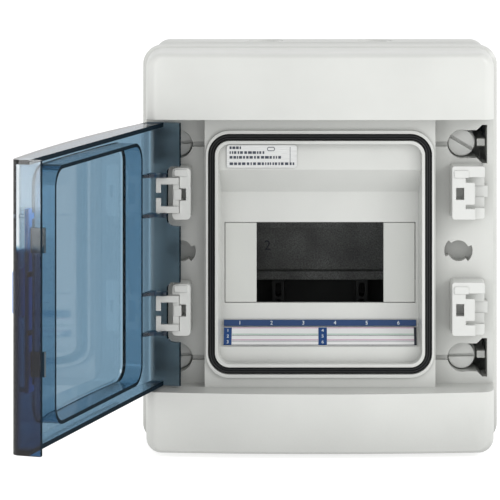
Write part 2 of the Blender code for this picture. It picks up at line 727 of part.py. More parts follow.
# ---------------------------------------------------------------- materials
LIGHT_GREY = dict(color=(0.72, 0.73, 0.71), roughness=0.4)
MID_GREY = dict(color=(0.66, 0.67, 0.65), roughness=0.42)
BLACK = dict(color=(0.025, 0.025, 0.028), roughness=0.5)
HOOK_BLACK = dict(color=(0.06, 0.07, 0.08), roughness=0.3)
RUBBER = dict(color=(0.035, 0.037, 0.04), roughness=0.75)
BLUE = dict(color=(0.012, 0.20, 0.46), roughness=0.38)
GREEN = dict(color=(0.05, 0.30, 0.09), roughness=0.4)
CARD = dict(color=(0.82, 0.83, 0.84), roughness=0.55)
FOIL = dict(color=(0.62, 0.63, 0.65), roughness=0.35, metallic=0.6)
STEEL = dict(color=(0.55, 0.55, 0.56), roughness=0.32, metallic=1.0)
ZINC = dict(color=(0.36, 0.36, 0.37), roughness=0.42, metallic=1.0)
BRASS = dict(color=(0.72, 0.53, 0.22), roughness=0.3, metallic=1.0)
CLEAR = dict(color=(0.30, 0.36, 0.40), roughness=0.08, transmission=0.8, alpha=0.45)
SHARP_DEG = 30.0                   # edges sharper than this stay crisp
MERGE_DISTANCE = 0.00001           # metres


def material(name, color, roughness, metallic=0.0, transmission=0.0, alpha=1.0):
    mat = bpy.data.materials.new(name)
    mat.use_nodes = True
    inputs = mat.node_tree.nodes["Principled BSDF"].inputs
    inputs["Base Color"].default_value = (*color, 1.0)
    inputs["Roughness"].default_value = roughness
    inputs["Metallic"].default_value = metallic
    inputs["Transmission Weight"].default_value = transmission
    inputs["Alpha"].default_value = alpha
    mat.diffuse_color = (*color, alpha)
    return mat


def finish(obj, look):
    """Give obj its own material, merge doubled points and shade it."""
    mesh = obj.data
    mesh.materials.clear()
    mesh.materials.append(material(obj.name + "_finish", **look))
    editor = bmesh.new()
    editor.from_mesh(mesh)
    bmesh.ops.remove_doubles(editor, verts=editor.verts, dist=MERGE_DISTANCE)
    editor.to_mesh(mesh)
    editor.free()
    mesh.polygons.foreach_set("use_smooth", [True] * len(mesh.polygons))
    mesh.set_sharp_from_angle(angle=math.radians(SHARP_DEG))
    return obj


# ---------------------------------------------------------------- assembly
def pivot(name, position, parent=None):
    """Empty at a world position, for pieces to turn or slide about."""
    empty = bpy.data.objects.new(name, None)
    bpy.context.scene.collection.objects.link(empty)
    empty.empty_display_size = 0.01
    empty.location = position
    if parent is not None:
        empty.parent = parent
        empty.location = [a - b for a, b in zip(position, parent.matrix_world.translation)]
    bpy.context.view_layer.update()
    return empty


def hang(obj, parent):
    """Parent obj to an empty that has only moved, keeping it where it is."""
    obj.parent = parent
    obj.location = [-c for c in parent.matrix_world.translation]


def assemble_housing():
    finish(build_rear_housing(), MID_GREY)
    finish(build_housing_seal(), RUBBER)
    finish(build_din_rail(), ZINC)
    finish(build_rail_carrier(), BLACK)
    finish(build_terminal_strip(), MID_GREY)
    for side_name, side in SIDES:
        finish(build_rail_screw("rail_screw_" + side_name, side), STEEL)
        finish(build_pan_screw("strip_screw_" + side_name, side * STRIP_SCREW_X, TERMINAL_Z,
                               STRIP_FRONT_D + GAP, length=6.0), STEEL)
        for level_name, level in LEVELS:
            place = level_name + "_" + side_name
            finish(build_pan_screw("carrier_screw_" + place, side * FIXING_X,
                                   CARRIER_SCREW_Z[level_name], CARRIER_PLATE_D + GAP,
                                   length=5.2), STEEL)
            finish(build_cable_plug("cable_plug_" + place, side, level), MID_GREY)
            finish(build_wall_cap("wall_cap_" + place, side, level), LIGHT_GREY)


def assemble_terminals():
    for label, x, look in (("earth", -21, GREEN), ("neutral", 21, BLUE)):
        finish(build_terminal_base("terminal_base_" + label, x), look)
        finish(build_terminal_bar("terminal_bar_" + label, x), BRASS)
        for i, offset in enumerate(TERMINAL_OFFSETS, start=1):
            finish(build_pan_screw("terminal_screw_%s_%d" % (label, i), x + offset, TERMINAL_Z,
                                   BAR_FRONT_D + GAP, length=4.5, head_radius=2.9), STEEL)


def assemble_cover(cover):
    fixed = [
        finish(build_front_cover(), LIGHT_GREY),
        finish(build_door_seal(), RUBBER),
        finish(build_number_strip(), BLUE),
        finish(build_label_card(), CARD),
        finish(build_rating_plate(), FOIL),
    ]
    for side_name, side in SIDES:
        fixed.append(finish(build_blanking_plate("blanking_plate_" + side_name, side), LIGHT_GREY))
    for level_name, level in LEVELS:
        fixed += [
            finish(build_latch_bracket("latch_bracket_" + level_name, level), LIGHT_GREY),
            finish(build_hinge_bracket("hinge_bracket_" + level_name, level), LIGHT_GREY),
            finish(build_hinge_hook("hinge_hook_" + level_name, level), MID_GREY),
        ]
        for side_name, side in SIDES:
            place = level_name + "_" + side_name
            x, z = side * SCREW_X, screw_z(level)
            fixed.append(finish(build_screw_seal("screw_seal_" + place, x, z), RUBBER))
            screw = build_cover_screw("cover_screw_" + place, x, z, SLOT_DEG[place])
            finish(screw, MID_GREY)
            hang(screw, pivot("screw_axis_" + place, point(x, 75, z), cover))
    for obj in fixed:
        hang(obj, cover)


def assemble_door(cover):
    """Hang the closed door and its latch on the hinge, then swing it open."""
    hinge = pivot("door_axis", point(HINGE_X, HINGE_D, 0), cover)
    hang(finish(build_door(), CLEAR), hinge)
    button_axis = pivot("button_axis", point(BUTTON_X, BUTTON_D, BUTTON_Z), hinge)
    hang(finish(build_latch_button(), BLUE), button_axis)
    slide = pivot("latch_axis", point(89, 98, 0), hinge)
    hang(finish(build_latch_bar(), BLUE), slide)
    for level_name, level in LEVELS:
        hang(finish(build_latch_hook("latch_hook_" + level_name, level), HOOK_BLACK), slide)
    hinge.rotation_euler[2] = -math.radians(OPEN_DEG)
    bpy.context.view_layer.update()


def build():
    for obj in list(bpy.data.objects):
        bpy.data.objects.remove(obj, do_unlink=True)
    assemble_housing()
    assemble_terminals()
    cover = pivot("cover_axis", point(0, SPLIT_D, 0))
    assemble_cover(cover)
    assemble_door(cover)


build()
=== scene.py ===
"""The looks of the breaker panel box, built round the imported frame."""

import json
import math
import random

import bmesh
import bpy
import numpy as np
from mathutils import Matrix, Vector
from mathutils.bvhtree import BVHTree


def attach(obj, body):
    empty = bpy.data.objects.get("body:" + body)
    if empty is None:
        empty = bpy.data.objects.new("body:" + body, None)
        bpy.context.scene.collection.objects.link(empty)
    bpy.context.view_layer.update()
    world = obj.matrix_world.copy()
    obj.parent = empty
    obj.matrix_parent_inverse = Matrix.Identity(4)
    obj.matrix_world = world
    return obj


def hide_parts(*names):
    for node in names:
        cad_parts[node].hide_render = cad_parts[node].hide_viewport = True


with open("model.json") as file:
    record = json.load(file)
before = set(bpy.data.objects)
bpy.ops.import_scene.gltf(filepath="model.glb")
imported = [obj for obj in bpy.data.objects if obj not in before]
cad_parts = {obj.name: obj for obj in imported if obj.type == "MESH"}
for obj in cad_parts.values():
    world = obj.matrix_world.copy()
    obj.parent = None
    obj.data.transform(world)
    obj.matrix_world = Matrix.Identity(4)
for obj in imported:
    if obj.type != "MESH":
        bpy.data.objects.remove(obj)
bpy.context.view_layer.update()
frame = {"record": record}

# ---------------------------------------------------------------- dimensions
# Millimetres. X runs to the right, "d" is the distance from the wall towards
# the person in front (world -Y), Z runs up. The origin is the centre of
# the back face, on the wall.
HALF_W, HALF_H = 101.5, 113.2      # half width and height at the joint flange
SPLIT = 58.0                       # where the rear housing ends
GAP = 0.3                          # clearance between separate pieces
EDGE, CROWN = 105.0, 5.0           # front face at the sides, extra in the middle
FLOOR = 82.5                       # side channels that hold the brackets
PLATFORM, RIM = 94.5, 96.0         # raised centre, and the seal's rim on it
CHANNEL_LOW, CHANNEL_TOP = -76.5, 74.7   # the door's recess in the cover
RING_Z = -1.5                      # the door, its seal and the screws centre here
WINDOW_D = 80.0                    # plane of the breaker window
RAIL_Z, RAIL_D = -8.5, 32.0        # rail centre, and the plane of its lips
MODULE = 18.0                      # width of one breaker
HINGE_X, HINGE_D = -90.8, 97.3     # door axis
OPEN_DEG = 107.6                   # how far the door stands open at rest
SCREW_X, SCREW_Z = 80.5, 60.5      # cover screws, either side of RING_Z
SLOT_DEG = {"upper_left": 4.0, "upper_right": -30.0, "lower_left": 3.0, "lower_right": 1.0}
BUTTON_Z = 5.0                     # middle of the latch button


def latch_z(sz):
    """Height of the right-hand bracket above (1) or below (-1) the middle."""
    return 0.3 + sz * 32.7


def hinge_z(sz):
    return -0.15 + sz * 32.65


def pin_z(sz):
    """Height of a hinge hook's middle, which the door's gussets follow."""
    return -1.25 + sz * 33.15


def hook_z(sz):
    return 0.5 + sz * 31.1


def screw_z(sz):
    return RING_Z + sz * SCREW_Z


def P(x, d, z):
    return (x * 0.001, -d * 0.001, z * 0.001)


def crown(x):
    return CROWN * (1 - (x / 97.0) ** 2)


def make(name, verts, faces):
    mesh = bpy.data.meshes.new(name)
    mesh.from_pydata([P(*v) for v in verts], [], faces)
    bm = bmesh.new()
    bm.from_mesh(mesh)
    bmesh.ops.recalc_face_normals(bm, faces=bm.faces)
    bm.to_mesh(mesh)
    bm.free()
    obj = bpy.data.objects.new(name, mesh)
    bpy.context.scene.collection.objects.link(obj)
    return obj


def loft(name, rings, strips=False):
    """Closed body through rings of equal length. strips caps a curved end."""
    n = len(rings[0])
    verts = [v for ring in rings for v in ring]
    faces = []
    for k in range(len(rings) - 1):
        for i in range(n):
            j = (i + 1) % n
            faces.append((k * n + i, k * n + j, (k + 1) * n + j, (k + 1) * n + i))
    last = (len(rings) - 1) * n
    faces.append(tuple(range(n)))
    if strips:
        for i in range(n // 2 - 1):
            faces.append((last + i, last + i + 1, last + n - 2 - i, last + n - 1 - i))
    else:
        faces.append(tuple(last + i for i in range(n)))
    return make(name, verts, faces)


def arc(cx, cy, r, a0, a1, n):
    return [
        (
            cx + r * math.cos(math.radians(a0 + (a1 - a0) * i / n)),
            cy + r * math.sin(math.radians(a0 + (a1 - a0) * i / n)),
        )
        for i in range(n + 1)
    ]


def rounded(hx, hz, r, n=4, m=0, cx=0.0, cz=0.0):
    """Rounded rectangle, with m extra points along its top and bottom."""
    def span(x0, x1, z):
        return [(x0 + (x1 - x0) * (i + 1) / (m + 1), z) for i in range(m)]

    pts = arc(hx - r, hz - r, r, 0, 90, n) + span(hx - r, r - hx, hz)
    pts += arc(r - hx, hz - r, r, 90, 180, n) + arc(r - hx, r - hz, r, 180, 270, n)
    pts += span(r - hx, hx - r, -hz) + arc(hx - r, r - hz, r, 270, 360, n)
    return [(cx + x, cz + z) for x, z in pts]


def rr_loft(name, levels, n=4, m=0, crown_from=None, strips=False, cx=0.0, cz=0.0):
    """levels: (half x, half z, radius, d). Above crown_from the body bows out."""
    rings = []
    for hx, hz, r, d in levels:
        share = 0.0
        if crown_from is not None:
            share = min(1.0, max(0.0, (d - crown_from) / (EDGE - crown_from)))
        rings.append(
            [(x, d + share * crown(x), z) for x, z in rounded(hx, hz, r, n, m, cx, cz)]
        )
    return loft(name, rings, strips)


def prism_d(name, outline, d0, d1):
    """Outline in (x, z), extruded along the depth."""
    return loft(name, [[(x, d, z) for x, z in outline] for d in (d0, d1)])


def prism_z(name, outline, z0, z1):
    """Outline in (x, d), extruded along the height."""
    return loft(name, [[(x, d, z) for x, d in outline] for z in (z0, z1)])


def prism_x(name, outline, x0, x1):
    """Outline in (z, d), extruded along the width."""
    return loft(name, [[(x, d, z) for z, d in outline] for x in (x0, x1)])


def box(name, x0, x1, d0, d1, z0, z1):
    return prism_d(name, [(x0, z0), (x1, z0), (x1, z1), (x0, z1)], d0, d1)


def cyl_d(name, x, z, r, d0, d1, n=16, r1=None):
    r1 = r if r1 is None else r1
    turn = 180.0 / n
    return loft(
        name,
        [[(px, d, pz) for px, pz in arc(x, z, rad, turn, 360 + turn, n)[:-1]]
         for rad, d in ((r, d0), (r1, d1))],
    )


def cyl_z(name, x, d, r, z0, z1, n=16):
    turn = 180.0 / n
    pts = arc(x, d, r, turn, 360 + turn, n)[:-1]
    return loft(name, [[(px, pd, z) for px, pd in pts] for z in (z0, z1)])


def annulus(name, outer, inner, d0, d1):
    """Ring between two outlines of equal length, extruded along the depth."""
    n = len(outer)
    verts = [(x, d, z) for d in (d0, d1) for line in (outer, inner) for x, z in line]
    faces = []
    for i in range(n):
        j = (i + 1) % n
        faces += [
            (i, j, n + j, n + i),
            (2 * n + i, 2 * n + j, 3 * n + j, 3 * n + i),
            (i, j, 2 * n + j, 2 * n + i),
            (n + i, n + j, 3 * n + j, 3 * n + i),
        ]
    return make(name, verts, faces)


def combine(obj, other, operation):
    modifier = obj.modifiers.new("cut", "BOOLEAN")
    modifier.operation = operation
    modifier.solver = "EXACT"
    modifier.object = other
    bpy.context.view_layer.update()
    graph = bpy.context.evaluated_depsgraph_get()
    mesh = bpy.data.meshes.new_from_object(obj.evaluated_get(graph))
    obj.modifiers.clear()
    obj.data = mesh
    bpy.data.objects.remove(other)
    return obj


def cut(obj, *others):
    for other in others:
        combine(obj, other, "DIFFERENCE")
    return obj


def add(obj, *others):
    for other in others:
        combine(obj, other, "UNION")
    return obj


def mirrored(outline, sx, sz=1):
    pts = [(x * sx, z * sz) for x, z in outline]
    return pts if sx * sz > 0 else pts[::-1]


# ---------------------------------------------------------------- housing
def well_outline(grow, n):
    """Opening round a cover screw: a round end, a neck and a flared mouth."""
    g = grow
    start = math.degrees(math.acos((7.9 + g) / (8.15 + g)))
    pts = [(SCREW_X + z, x) for x, z in arc(0, 0, 8.15 + g, start, -180 - start, n)]
    pts += [(88.9, -7.9 - g), (92.0, -10.9 - g), (94.8 + g, -10.9 - g)]
    return pts + [(94.8 + g, 10.9 + g), (92.0, 10.9 + g), (88.9, 7.9 + g)]


def screw_well(grow, n, sx, sz):
    return [(x, z + screw_z(sz)) for x, z in mirrored(well_outline(grow, n), sx, sz)]


def lock_outline(n):
    """Round pocket with an ear on either side, turned a little."""
    pts = []
    for start, stop, r in ((-35, 35, 8.0), (35, 145, 5.9), (145, 215, 8.0), (215, 325, 5.9)):
        pts += arc(0, 0, r, start - 12, stop - 12, n)
    return pts


def build_rear_housing(q=1):
    body = rr_loft(
        "rear_housing",
        [
            (96.9, 111.7, 7.8, 0), (97.8, 112.6, 8.6, 1.2), (98.4, 112.8, 9, 28),
            (99.3, 112.2, 9.2, 29), (99.8, 112.3, 9.3, 51.5),
            (HALF_W, HALF_H, 10, 52.6), (HALF_W, HALF_H, 10, SPLIT),
        ],
        n=4 * q,
    )
    cut(body, rr_loft("hollow", [(95.2, 109.6, 6.5, 3), (97.0, 109.7, 7, 50), (97.8, 110.0, 7.2, 60)], n=4 * q))
    for sx in (1, -1):
        for sz in (1, -1):
            x, z = sx * SCREW_X, screw_z(sz)
            add(body, cyl_d("column", x, z, 6.5, 2, 62, 12 * q))
            add(body, box("rib", *sorted((sx * 85.2, sx * 94.2)), 2.2, 60.5, z - 2.1, z + 2.1))
            add(body, box("rib_tip", *sorted((sx * 89.4, sx * 94.2)), 55, 73, z - 2.1, z + 2.1))
            cut(body, cyl_d("bore", x, z, 3.6, 30, 65, 12 * q))
            add(body, cyl_d("boss", sx * 70, sz * 88, 6.5, 2.2, 6, 12 * q))
            cut(body, cyl_d("wall_hole", sx * 70, sz * 88, 2.75, -1, 8, 12 * q))
        for z in (28, -44):
            add(body, cyl_d("boss", sx * 46, z, 5, 2.2, 5.7, 10 * q))
            cut(body, cyl_d("bore", sx * 46, z, 1.9, 3.2, 7, 10 * q))
        add(body, cyl_d("boss", sx * 44, 92, 5, 2.2, 7.7, 10 * q))
        cut(body, cyl_d("bore", sx * 44, 92, 1.9, 3.2, 9, 10 * q))
        for z0, z1 in ((102, 116), (-116, -102)):
            cut(body, cyl_z("knockout", sx * 32, 15, 10.3, z0, z1, 16 * q))
    return body


def build_front_cover(q=1):
    steps = 3 * q
    levels = [
        (HALF_W, HALF_H, 10, SPLIT + GAP), (HALF_W, HALF_H, 10, 63.4),
        (99.1, 112.3, 9.0, 64.6), (97.6, 112.0, 8.2, 98.5),
    ]
    for i in range(1, steps + 1):
        a = math.radians(90.0 * i / steps)
        bend = 1 - math.cos(a)
        levels.append((97.6 - 6.4 * bend, 112.0 - 2.4 * bend, 8.2 - 4.6 * bend, 98.5 + 6.5 * math.sin(a)))
    n, m = 4 * q, 7 * q
    body = rr_loft("front_cover", levels, n=n, m=m, crown_from=64.6, strips=True)
    low, top = CHANNEL_LOW, CHANNEL_TOP
    cut(body, prism_z("channel", [
        (-140, FLOOR), (-65.0, FLOOR), (-65.0, PLATFORM), (65.0, PLATFORM),
        (65.0, FLOOR), (140, FLOOR), (140, 140), (-140, 140)], low, top))
    for z, out, far in ((low, -0.9, -1.3), (top, 0.5, 0.9)):
        mid = z - 5 if z > 0 else z + 5
        cut(body, prism_x("draft", [(z, PLATFORM), (z + out, 108), (z + far, 112), (z + far, 140), (mid, 140), (mid, PLATFORM)], -140, 140))
    # hollow inside, left away from everything that stands in it
    hollow = rr_loft("hollow", [
        (98.6, 110.3, 7.6, 50), (98.6, 110.3, 7.6, 61.5), (96.6, 109.8, 7.0, 62.6),
        (95.1, 109.5, 6.2, 98.0), (93.6, 108.8, 5.2, 100.6), (90.6, 107.6, 3.2, 102.3)],
        n=n, m=m, crown_from=64.6, strips=True)
    cut(hollow, prism_z("keep", [
        (-140, FLOOR - 2.3), (-62, FLOOR - 2.3), (-62, 90.2), (62, 90.2),
        (62, FLOOR - 2.3), (140, FLOOR - 2.3), (140, 150), (-140, 150)], low - 3.6, top + 3.0))
    cut(hollow, prism_x("keep", [
        (66.5, 88.9), (45, 88.9), (31, 77.6), (-44.2, 77.6), (-54.4, 87.6),
        (-66.5, 87.6), (-66.5, 150), (66.5, 150)], -59.3, 59.3))
    for sx in (1, -1):
        for sz in (1, -1):
            cut(hollow, prism_d("keep", screw_well(2.0, 8 * q, sx, sz), 61.2, 150))
            z = screw_z(sz)
            cut(hollow, box("keep", *sorted((sx * 60.0, sx * 72.0)), 76.5, 150, z - 3.4, z + 3.4))
        cut(hollow, cyl_d("keep", sx * 78.5, RING_Z, 10.4, 72.3, 150, 16 * q))
    cut(body, hollow)
    # the raised rim, its groove and the device recess
    add(body, prism_d("rim", rounded(64.2, 69.6, 13.3, 5 * q, cz=RING_Z), 93.4, RIM))
    cut(body, annulus("groove", rounded(63.1, 67.7, 12.2, 5 * q, cz=RING_Z), rounded(59.1, 63.7, 8.2, 5 * q, cz=RING_Z), 92.4, 101))
    recess = prism_x("recess", [
        (66.0, 91.5), (45.5, 91.5), (31.7, WINDOW_D), (-44.7, WINDOW_D), (-54.7, 90),
        (-66.0, 90), (-66.0, 120), (66.0, 120)], -70, 70)
    combine(recess, rr_loft("plug", [(55.4, 61.0, 6, 76), (57.4, 61.9, 7, RIM), (57.4, 61.9, 7, 130)], n=5 * q, cz=RING_Z), "INTERSECT")
    cut(body, recess)
    cut(body, box("window", -3 * MODULE - 0.2, 3 * MODULE + 0.2, 70, 90, -31.4, 14.4))
    for sx in (1, -1):
        for sz in (1, -1):
            x, z = sx * SCREW_X, screw_z(sz)
            cut(body, prism_d("well", screw_well(0, 8 * q, sx, sz), 50, 130))
            add(body, cyl_d("seat", x, z, 8.5, 64, 67, 16 * q))
            cut(body, cyl_d("bore", x, z, 3.9, 60, 75, 12 * q))
            cut(body, box("slot", *sorted((sx * 65.6, sx * 72.9)), 79.4, 95, z - 1.4, z + 1.4))
        cut(body, prism_d("pocket", [(x + sx * 78.5, z + RING_Z) for x, z in lock_outline(5 * q)], 74.5, 95))
    return body


def build_housing_seal(q=1):
    return annulus("housing_seal", rounded(97.1, 109.5, 6.6, 4 * q), rounded(95.1, 107.5, 5.0, 4 * q), 56.4, 60.6)


def build_door_seal(q=1):
    return annulus("door_seal", rounded(62.9, 67.5, 12.0, 5 * q, cz=RING_Z), rounded(59.3, 63.9, 8.4, 5 * q, cz=RING_Z), 92.7, 95.3)


# ---------------------------------------------------------------- inside
def build_din_rail():
    t, z = 1.0, RAIL_Z
    web = RAIL_D - 7.5
    line = [
        (z - 17.5, RAIL_D - t), (z - 17.5, RAIL_D), (z - 12.5, RAIL_D), (z - 12.5, web + t),
        (z + 12.5, web + t), (z + 12.5, RAIL_D), (z + 17.5, RAIL_D), (z + 17.5, RAIL_D - t),
        (z + 13.5, RAIL_D - t), (z + 13.5, web), (z - 13.5, web), (z - 13.5, RAIL_D - t),
    ]
    body = prism_x("din_rail", line, -56, 56)
    for sx in (1, -1):
        cut(body, cyl_d("hole", sx * 46, z, 2.3, 20, 30, 12))
    return body


def build_rail_carrier():
    body = box("rail_carrier", -52, 52, 6.0, 8.6, -50, 34)
    for sx in (1, -1):
        x = sx * 24.5
        add(body, box("upright", x - 3.6, x + 3.6, 8, 24.2, -46, 30))
        slot = arc(x, -30.5, 1.65, 0, 180, 6) + arc(x, -35.6, 1.65, 180, 360, 6)
        cut(body, prism_d("slot", slot, 12, 30))
        cut(body, cyl_d("hole", x, -40.2, 1.6, 12, 30, 10))
        add(body, box("block", *sorted((sx * 40, sx * 51.5)), 8, 24.2, -20, 3))
        cut(body, cyl_d("bore", sx * 46, RAIL_Z, 2.1, 9.5, 30, 10))
        for z in (28, -44):
            cut(body, cyl_d("hole", sx * 46, z, 2.3, 4, 12, 10))
    return body


def build_pan_screw(name, x, z, head_d, length, shaft_r=1.5, head_r=3.3):
    """Slotted pan-head screw: underside of the head at head_d."""
    body = cyl_d(name, x, z, head_r, head_d, head_d + 2.2, 12, head_r * 0.8)
    cut(body, box("slot", x - 5, x + 5, head_d + 1.2, head_d + 5, z - 0.4, z + 0.4))
    add(body, cyl_d("shaft", x, z, shaft_r, head_d - length, head_d + 0.5, 10))
    return body


def build_terminal_strip():
    body = box("terminal_strip", -50, 50, 8.0, 11.0, 79, 104)
    for sx in (1, -1):
        add(body, box("lug", *sorted((sx * 48.0, sx * 50.0)), 10, 14.4, 83, 101))
        cut(body, cyl_d("hole", sx * 44, 92, 2.3, 5, 15, 10))
    return body


TERMINALS = (-11.0, 0.0, 11.0)


def build_terminal_base(name, cx):
    body = box(name, cx - 17.5, cx + 17.5, 11.3, 27.0, 84, 100)
    cut(body, box("trough", cx - 15.7, cx + 15.7, 16.5, 30, 87.2, 96.8))
    return body


def build_terminal_bar(name, cx):
    body = box(name, cx - 15.2, cx + 15.2, 16.9, 24.0, 88.0, 96.0)
    for dx in TERMINALS:
        cut(body, cyl_z("wire_hole", cx + dx, 19.6, 1.6, 80, 104, 8))
        cut(body, cyl_d("thread", cx + dx, 92, 1.9, 18.8, 30, 8))
    return body


def build_rail_screw(name, x):
    return build_pan_screw(name, x, RAIL_Z, RAIL_D - 6.5 + GAP, 12, 1.7, 3.8)


# ---------------------------------------------------------------- cover fittings
def build_latch_bracket(name, sz, q=1):
    """Right-hand bracket, with the overhanging tab that the hook catches."""
    z = latch_z(sz)
    base = FLOOR + GAP
    body = loft(name, [
        [(x, base, pz) for x, pz in rounded(9.7, 15.4, 1.8, 2 * q, cx=83.3, cz=z)],
        [(x, 96.5, pz) for x, pz in rounded(9.2, 15.0, 1.4, 2 * q, cx=83.6, cz=z)],
    ])
    add(body, box("low_plate", 86.0, 94.8, base + 0.01, 88.2, z - 3.2, z + 3.2))
    cut(body, box("pocket", 82.0, 100, 89.0, 98, z - 9.0, z + 8.9))
    cut(body, box("step", 87.4, 100, 88.2, 98, z - 3.2, z + 3.2))
    cut(body, box("low_arm", 87.4, 100, 92.2, 98, z - 16, z - 8.9))
    add(body, prism_d("tab", rounded(3.65, 6.2, 0.9, 2 * q, cx=83.5, cz=z - 0.4), 94.2, 96.47))
    add(body, loft("pad", [
        [(x, 96, pz) for x, pz in rounded(4.3, 2.3, 0.8, 2 * q, cx=79.7, cz=z + 10.6)],
        [(x, 97.1, pz) for x, pz in rounded(4.0, 2.0, 0.8, 2 * q, cx=79.7, cz=z + 10.6)],
    ]))
    cut(body, box("hole", 76.6, 81.1, 87.0, 99, z - 3.9, z + 2.9))
    return body


def build_hinge_bracket(name, sz, q=1):
    """Left-hand bracket, which holds the hinge hook."""
    z = hinge_z(sz)
    pin = pin_z(sz)
    body = loft(name, [
        [(x, FLOOR + GAP, pz) for x, pz in rounded(5.4, 14.8, 2.4, 2 * q, cx=-77.9, cz=z)],
        [(x, 96.5, pz) for x, pz in rounded(5.1, 14.5, 2.2, 2 * q, cx=-78.0, cz=z)],
    ])
    add(body, loft("pad", [
        [(x, 95, pz) for x, pz in rounded(4.0, 2.1, 0.8, 2 * q, cx=-78.2, cz=z + 11.9)],
        [(x, 97.3, pz) for x, pz in rounded(3.7, 1.8, 0.8, 2 * q, cx=-78.2, cz=z + 11.9)],
    ]))
    cut(body, box("seat", -90, -79.0, 92.6, 99, pin - 10.2, pin + 10.2))
    cut(body, box("hole", -80.6, -75.4, 87.0, 99, z - 3.7, z + 3.1))
    return body


def build_hinge_hook(name, sz, q=1):
    """C-shaped clip: back bar, two arms, sprung tips and stub pins on the door axis."""
    z = pin_z(sz)
    x0, x1 = HINGE_X - 1.4, HINGE_X + 1.4
    d0, d1 = HINGE_D - 1.3, HINGE_D + 1.3
    body = box(name, -82.7, -79.3, 92.9, 97.0, z - 9.9, z + 9.9)
    hole = hinge_z(sz)
    add(body, box("tongue", -82.2, -78.0, 94.6, 97.2, hole - 3.3, hole + 2.7))
    for s in (1, -1):
        add(body, box("arm", x0, -79.35, HINGE_D - 0.85, d1 - 0.02, *sorted((z + s * 6.2, z + s * 9.88))))
        add(body, box("tip", x0 + 0.02, x1, d0 + 0.02, d1 - 0.04, *sorted((z + s * 1.5, z + s * 7.0))))
        add(body, cyl_z("pin", HINGE_X, HINGE_D, 1.25, *sorted((z + s * 9.4, z + s * 12.1)), 16 * q))
    return body


def build_cover_screw(name, x, z, slot_deg, q=1):
    head = loft(name, [
        [(px, d, pz) for px, pz in arc(x, z, r, 0, 360, 24 * q)[:-1]]
        for r, d in ((7.4, 68.4), (7.65, 69.0), (7.65, 74.5), (7.2, 75.0))
    ])
    c, s = math.cos(math.radians(slot_deg)), math.sin(math.radians(slot_deg))
    line = [(x + c * a - s * b, z + s * a + c * b) for a, b in ((-9, -0.85), (9, -0.85), (9, 0.85), (-9, 0.85))]
    cut(head, prism_d("slot", line, 72.2, 80))
    add(head, cyl_d("shaft", x, z, 3.2, 36, 69, 12 * q))
    return head


def build_screw_seal(name, x, z, q=1):
    return annulus(name, arc(x, z, 6.8, 0, 360, 16 * q)[:-1], arc(x, z, 4.2, 0, 360, 16 * q)[:-1], 67.2, 68.1)


def build_blanking_plate(name, sx):
    x0, x1 = sorted((sx * (2 * MODULE + 0.05), sx * (3 * MODULE - 0.1)))
    body = box(name, x0, x1, 77.2, WINDOW_D, -31.1, 14.1)
    add(body, box("clip", x0 + 3, x1 - 3, 74.4, 78, 8.0, 10.0), box("clip", x0 + 3, x1 - 3, 74.4, 78, -27.0, -25.0))
    return body


def build_rating_plate():
    return prism_d("rating_plate", rounded(19.8, 6.4, 1.2, 2, cx=-32.8, cz=53.1), 91.8, 92.2)


def build_number_strip():
    return box("number_strip", -54.6, 54.6, WINDOW_D + GAP, WINDOW_D + 1.1, -44.4, -41.0)


def build_label_card():
    """Card on the slope below the window, which faces up and out."""
    a, b = (-45.6, WINDOW_D + 0.9), (-54.5, WINDOW_D + 9.8)
    line = [(a[0] + o, a[1] + o) for o in (0.25, 0.65)] + [(b[0] + o, b[1] + o) for o in (0.65, 0.25)]
    return prism_x("label_card", line, -54.6, 54.6)


# ---------------------------------------------------------------- door (modelled closed)
def door_profile(inner, n):
    """Front line of the door in (x, d): inner is the wall thickness, 0 outside."""
    r, top = 5.0 - inner, EDGE + crown(91.5) - inner
    count = 4 * n
    xs = [-91.5 + 183.0 * (i + 1) / (count + 1) for i in range(count)]
    pts = arc(-91.5, top - r, r, 180, 90, n) + [(x, EDGE + crown(x) - inner) for x in xs]
    return pts + arc(91.5, top - r, r, 90, 0, n)


def window_rings(name, levels, n):
    """Rounded body whose levels follow the door's bowed front. levels: (hx, hz, r, d or None, rise)."""
    rings = []
    for hx, hz, r, d, rise in levels:
        rings.append([(x, d if d is not None else EDGE + crown(x) + rise, z)
                      for x, z in rounded(hx, hz, r, n, 5, cz=RING_Z)])
    return loft(name, rings, strips=True)


